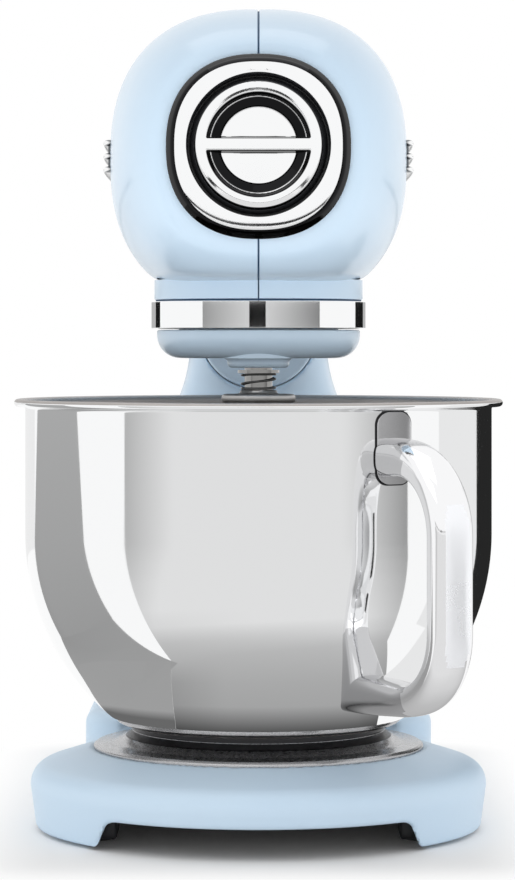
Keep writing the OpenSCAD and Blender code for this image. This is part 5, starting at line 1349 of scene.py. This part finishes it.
def card(name, rows, tone, material):
    """Card that only reflections see. rows of (x, y, z) in mm from the bowl's axis, tone for each point."""
    data = bpy.data.meshes.new(name)
    points = [p for row in rows for p in row]
    places = [(x * MM, BOWL_Y + y * MM, z * MM) for x, y, z in points]
    data.from_pydata(places, [], strips(len(rows), len(rows[0])))
    if sum(face.normal.z for face in data.polygons) < -0.5:
        data.flip_normals()
    layer = data.attributes.new("tone", "FLOAT", "POINT")
    layer.data.foreach_set("value", [float(tone(*p)) if callable(tone) else tone for p in points])
    data.materials.append(material)
    obj = add_object(name, data)
    obj.visible_camera = obj.visible_diffuse = obj.visible_transmission = False
    obj.visible_shadow = obj.visible_volume_scatter = False


def heading(x, y):
    """Direction of a point from the bowl's axis in degrees from straight ahead, positive toward +X."""
    return math.degrees(math.atan2(x, -y))


def toward(radius, az):
    """Point (x, y) at a distance from the bowl's axis in a direction in degrees."""
    a = math.radians(az)
    return radius * math.sin(a), -radius * math.cos(a)


def round_line(radius, az0, az1, count):
    return [toward(radius, az) for az in np.linspace(az0, az1, count)]


def level(z, *lines):
    """Rows of a flat card."""
    return [[(x, y, z) for x, y in line] for line in lines]


def standing(line, z0, z1):
    """Rows of an upright card."""
    return [[(x, y, z) for x, y in line] for z in (z0, z1)]


def front_tone(x, y, z):
    return np.interp(heading(x, y), (-72, -40, 40, 76), (0.39, 0.785, 0.785, 0.30))


def front_table_tone(x, y, z):
    """Darker toward the bowl's foot."""
    r = math.hypot(x, y)
    near_left = np.interp(heading(x, y), (-33, -12), (0.8, 1)) if r < 110 else 1
    depth = np.interp(r, (74, 80, 100, 128, 162), (0.12, 0.5, 0.55, 0.66, 1.0))
    return front_tone(x, y, z) * near_left * depth


def left_tone(x, y, z):
    if z < 60:
        depth = np.interp(math.hypot(x, y), (90, 150), (0.85, 0.8))
    else:
        depth = np.interp(z, (50, 150), (0.85, 1))
    return np.interp(heading(x, y), (-139, -97), (0.29, 0.42)) * depth


def left_ring_tone(x, y, z):
    return 0.36 * np.interp(math.hypot(x, y), (71, 76), (0.4, 1))


def cards():
    """Grey, white and black cards round the mixer, whose reflections shape the polished metal."""
    flat, upright = card_material("table_card", True), card_material("wall_card", False)

    # Table: white all round, with a grey field in front, a grey field left and a pale one right.
    ring = [round_line(r, 0, 360, 73) for r in (FOOT_R, 300)]
    card("white_table", level(TABLE_Z - 0.2, *ring), 1.0, flat)
    left, right = (-61, -95.5), (105, -84)
    lines = [round_line(r, heading(*left), heading(*right), 40) for r in (FOOT_R, 80, 95)]
    for t in (0, 20, 45, 80, 130, 250, 500, FAR):
        (dx, dy), (ex, ey) = toward(t, -68), toward(t, 76.5)
        p, q = (left[0] + dx, left[1] + dy), (right[0] + ex, right[1] + ey)
        radii = np.linspace(math.hypot(*p), math.hypot(*q), 40)
        lines.append([toward(r, az) for r, az in zip(radii, np.linspace(heading(*p), heading(*q), 40))])
    card("front_table", level(TABLE_Z, *lines), front_table_tone, flat)
    card("front_wall", standing(lines[-1], TABLE_Z, WALL_TOP_Z), front_tone, upright)
    near = [(-55, -96), (-61, -95), (-100, -89), (-150, -81.5)]
    back = [(-76, 1), (-80, 1), (-98, 8), (-150, 48)]
    card("left_table", level(TABLE_Z + 0.1, near, back), left_tone, flat)
    ring = [round_line(r, -93, heading(*left), 24) for r in (FOOT_R, 71, 76, 95, 112)]
    card("left_ring", level(TABLE_Z + 0.1, *ring), left_ring_tone, flat)
    sides = (-82, 46, TABLE_Z), (-58, 18, SIDE_TOP_Z)
    wall = [[(-150, y, z) for y in np.linspace(y0, y1, 12)] for y0, y1, z in sides]
    card("left_wall", wall, left_tone, upright)
    near = [(70, -65), (87, -60), (98, -57), (127, -50), (150, -43)]
    back = [(x, 60) for x, _ in near]
    card("right_table", level(TABLE_Z + 0.1, near, back), 0.85, flat)
    card("right_wall", standing([(150, -61), (150, 8)], TABLE_Z, SIDE_TOP_Z), 0.85, upright)
    card("back_left_wall", standing(round_line(FAR, -180, -139, 12), 0, WALL_TOP_Z), 0.87, upright)
    card("right_flag", standing([(104, 60), (202, 60)], 40, 195), 0.02, upright)

    # Eye line, seen by the neck's band: black straight ahead, grey beside it, white and black further round.
    bands = [  # headings from and to, and their tones
        (-180, -144, 0.48, 0.48), (-144, -130, 0.01, 0.01), (-61, -9.6, 0.33, 0.65), (-9.6, 7.5, 0.01, 0.01),
        (7.5, 67.6, 0.65, 0.24), (126, 151, 0.01, 0.01), (151, 180, 0.48, 0.48),
    ]
    for k, (az0, az1, *tones) in enumerate(bands):
        rows = standing(round_line(FAR, az0, az1, 16), 226, 262)
        card(f"eye_line_{k}", rows, lambda x, y, z: np.interp(heading(x, y), (az0, az1), tones), upright)


def studio():
    white_world()
    floor()
    lamps()
    cards()


def camera():
    """Level camera a little above the bowl, framed by a vertical shift."""
    data = bpy.data.cameras.new("camera")
    obj = add_object("camera", data)
    distance, eye = 1.400, 0.2177
    obj.location = (0, BOWL_Y - distance, eye)
    obj.rotation_euler = (math.pi / 2, 0, 0)
    data.sensor_fit = "VERTICAL"
    data.sensor_height = 36
    data.lens = 126.24545
    data.shift_x = -0.00113636
    data.shift_y = -0.1079545
    data.clip_end = 50
    bpy.context.scene.camera = obj


for make in (
    head_shells, head_seam, neck_band, hub, springs, beater, bezel, cover, side_ribs, speed_control,
    bowl, bowl_foot, handle, handle_plate, column, tongue, base, finish_cad_nodes, studio, camera,
):
    make()
bpy.context.scene.view_settings.view_transform = "Standard"
bpy.context.view_layer.update()
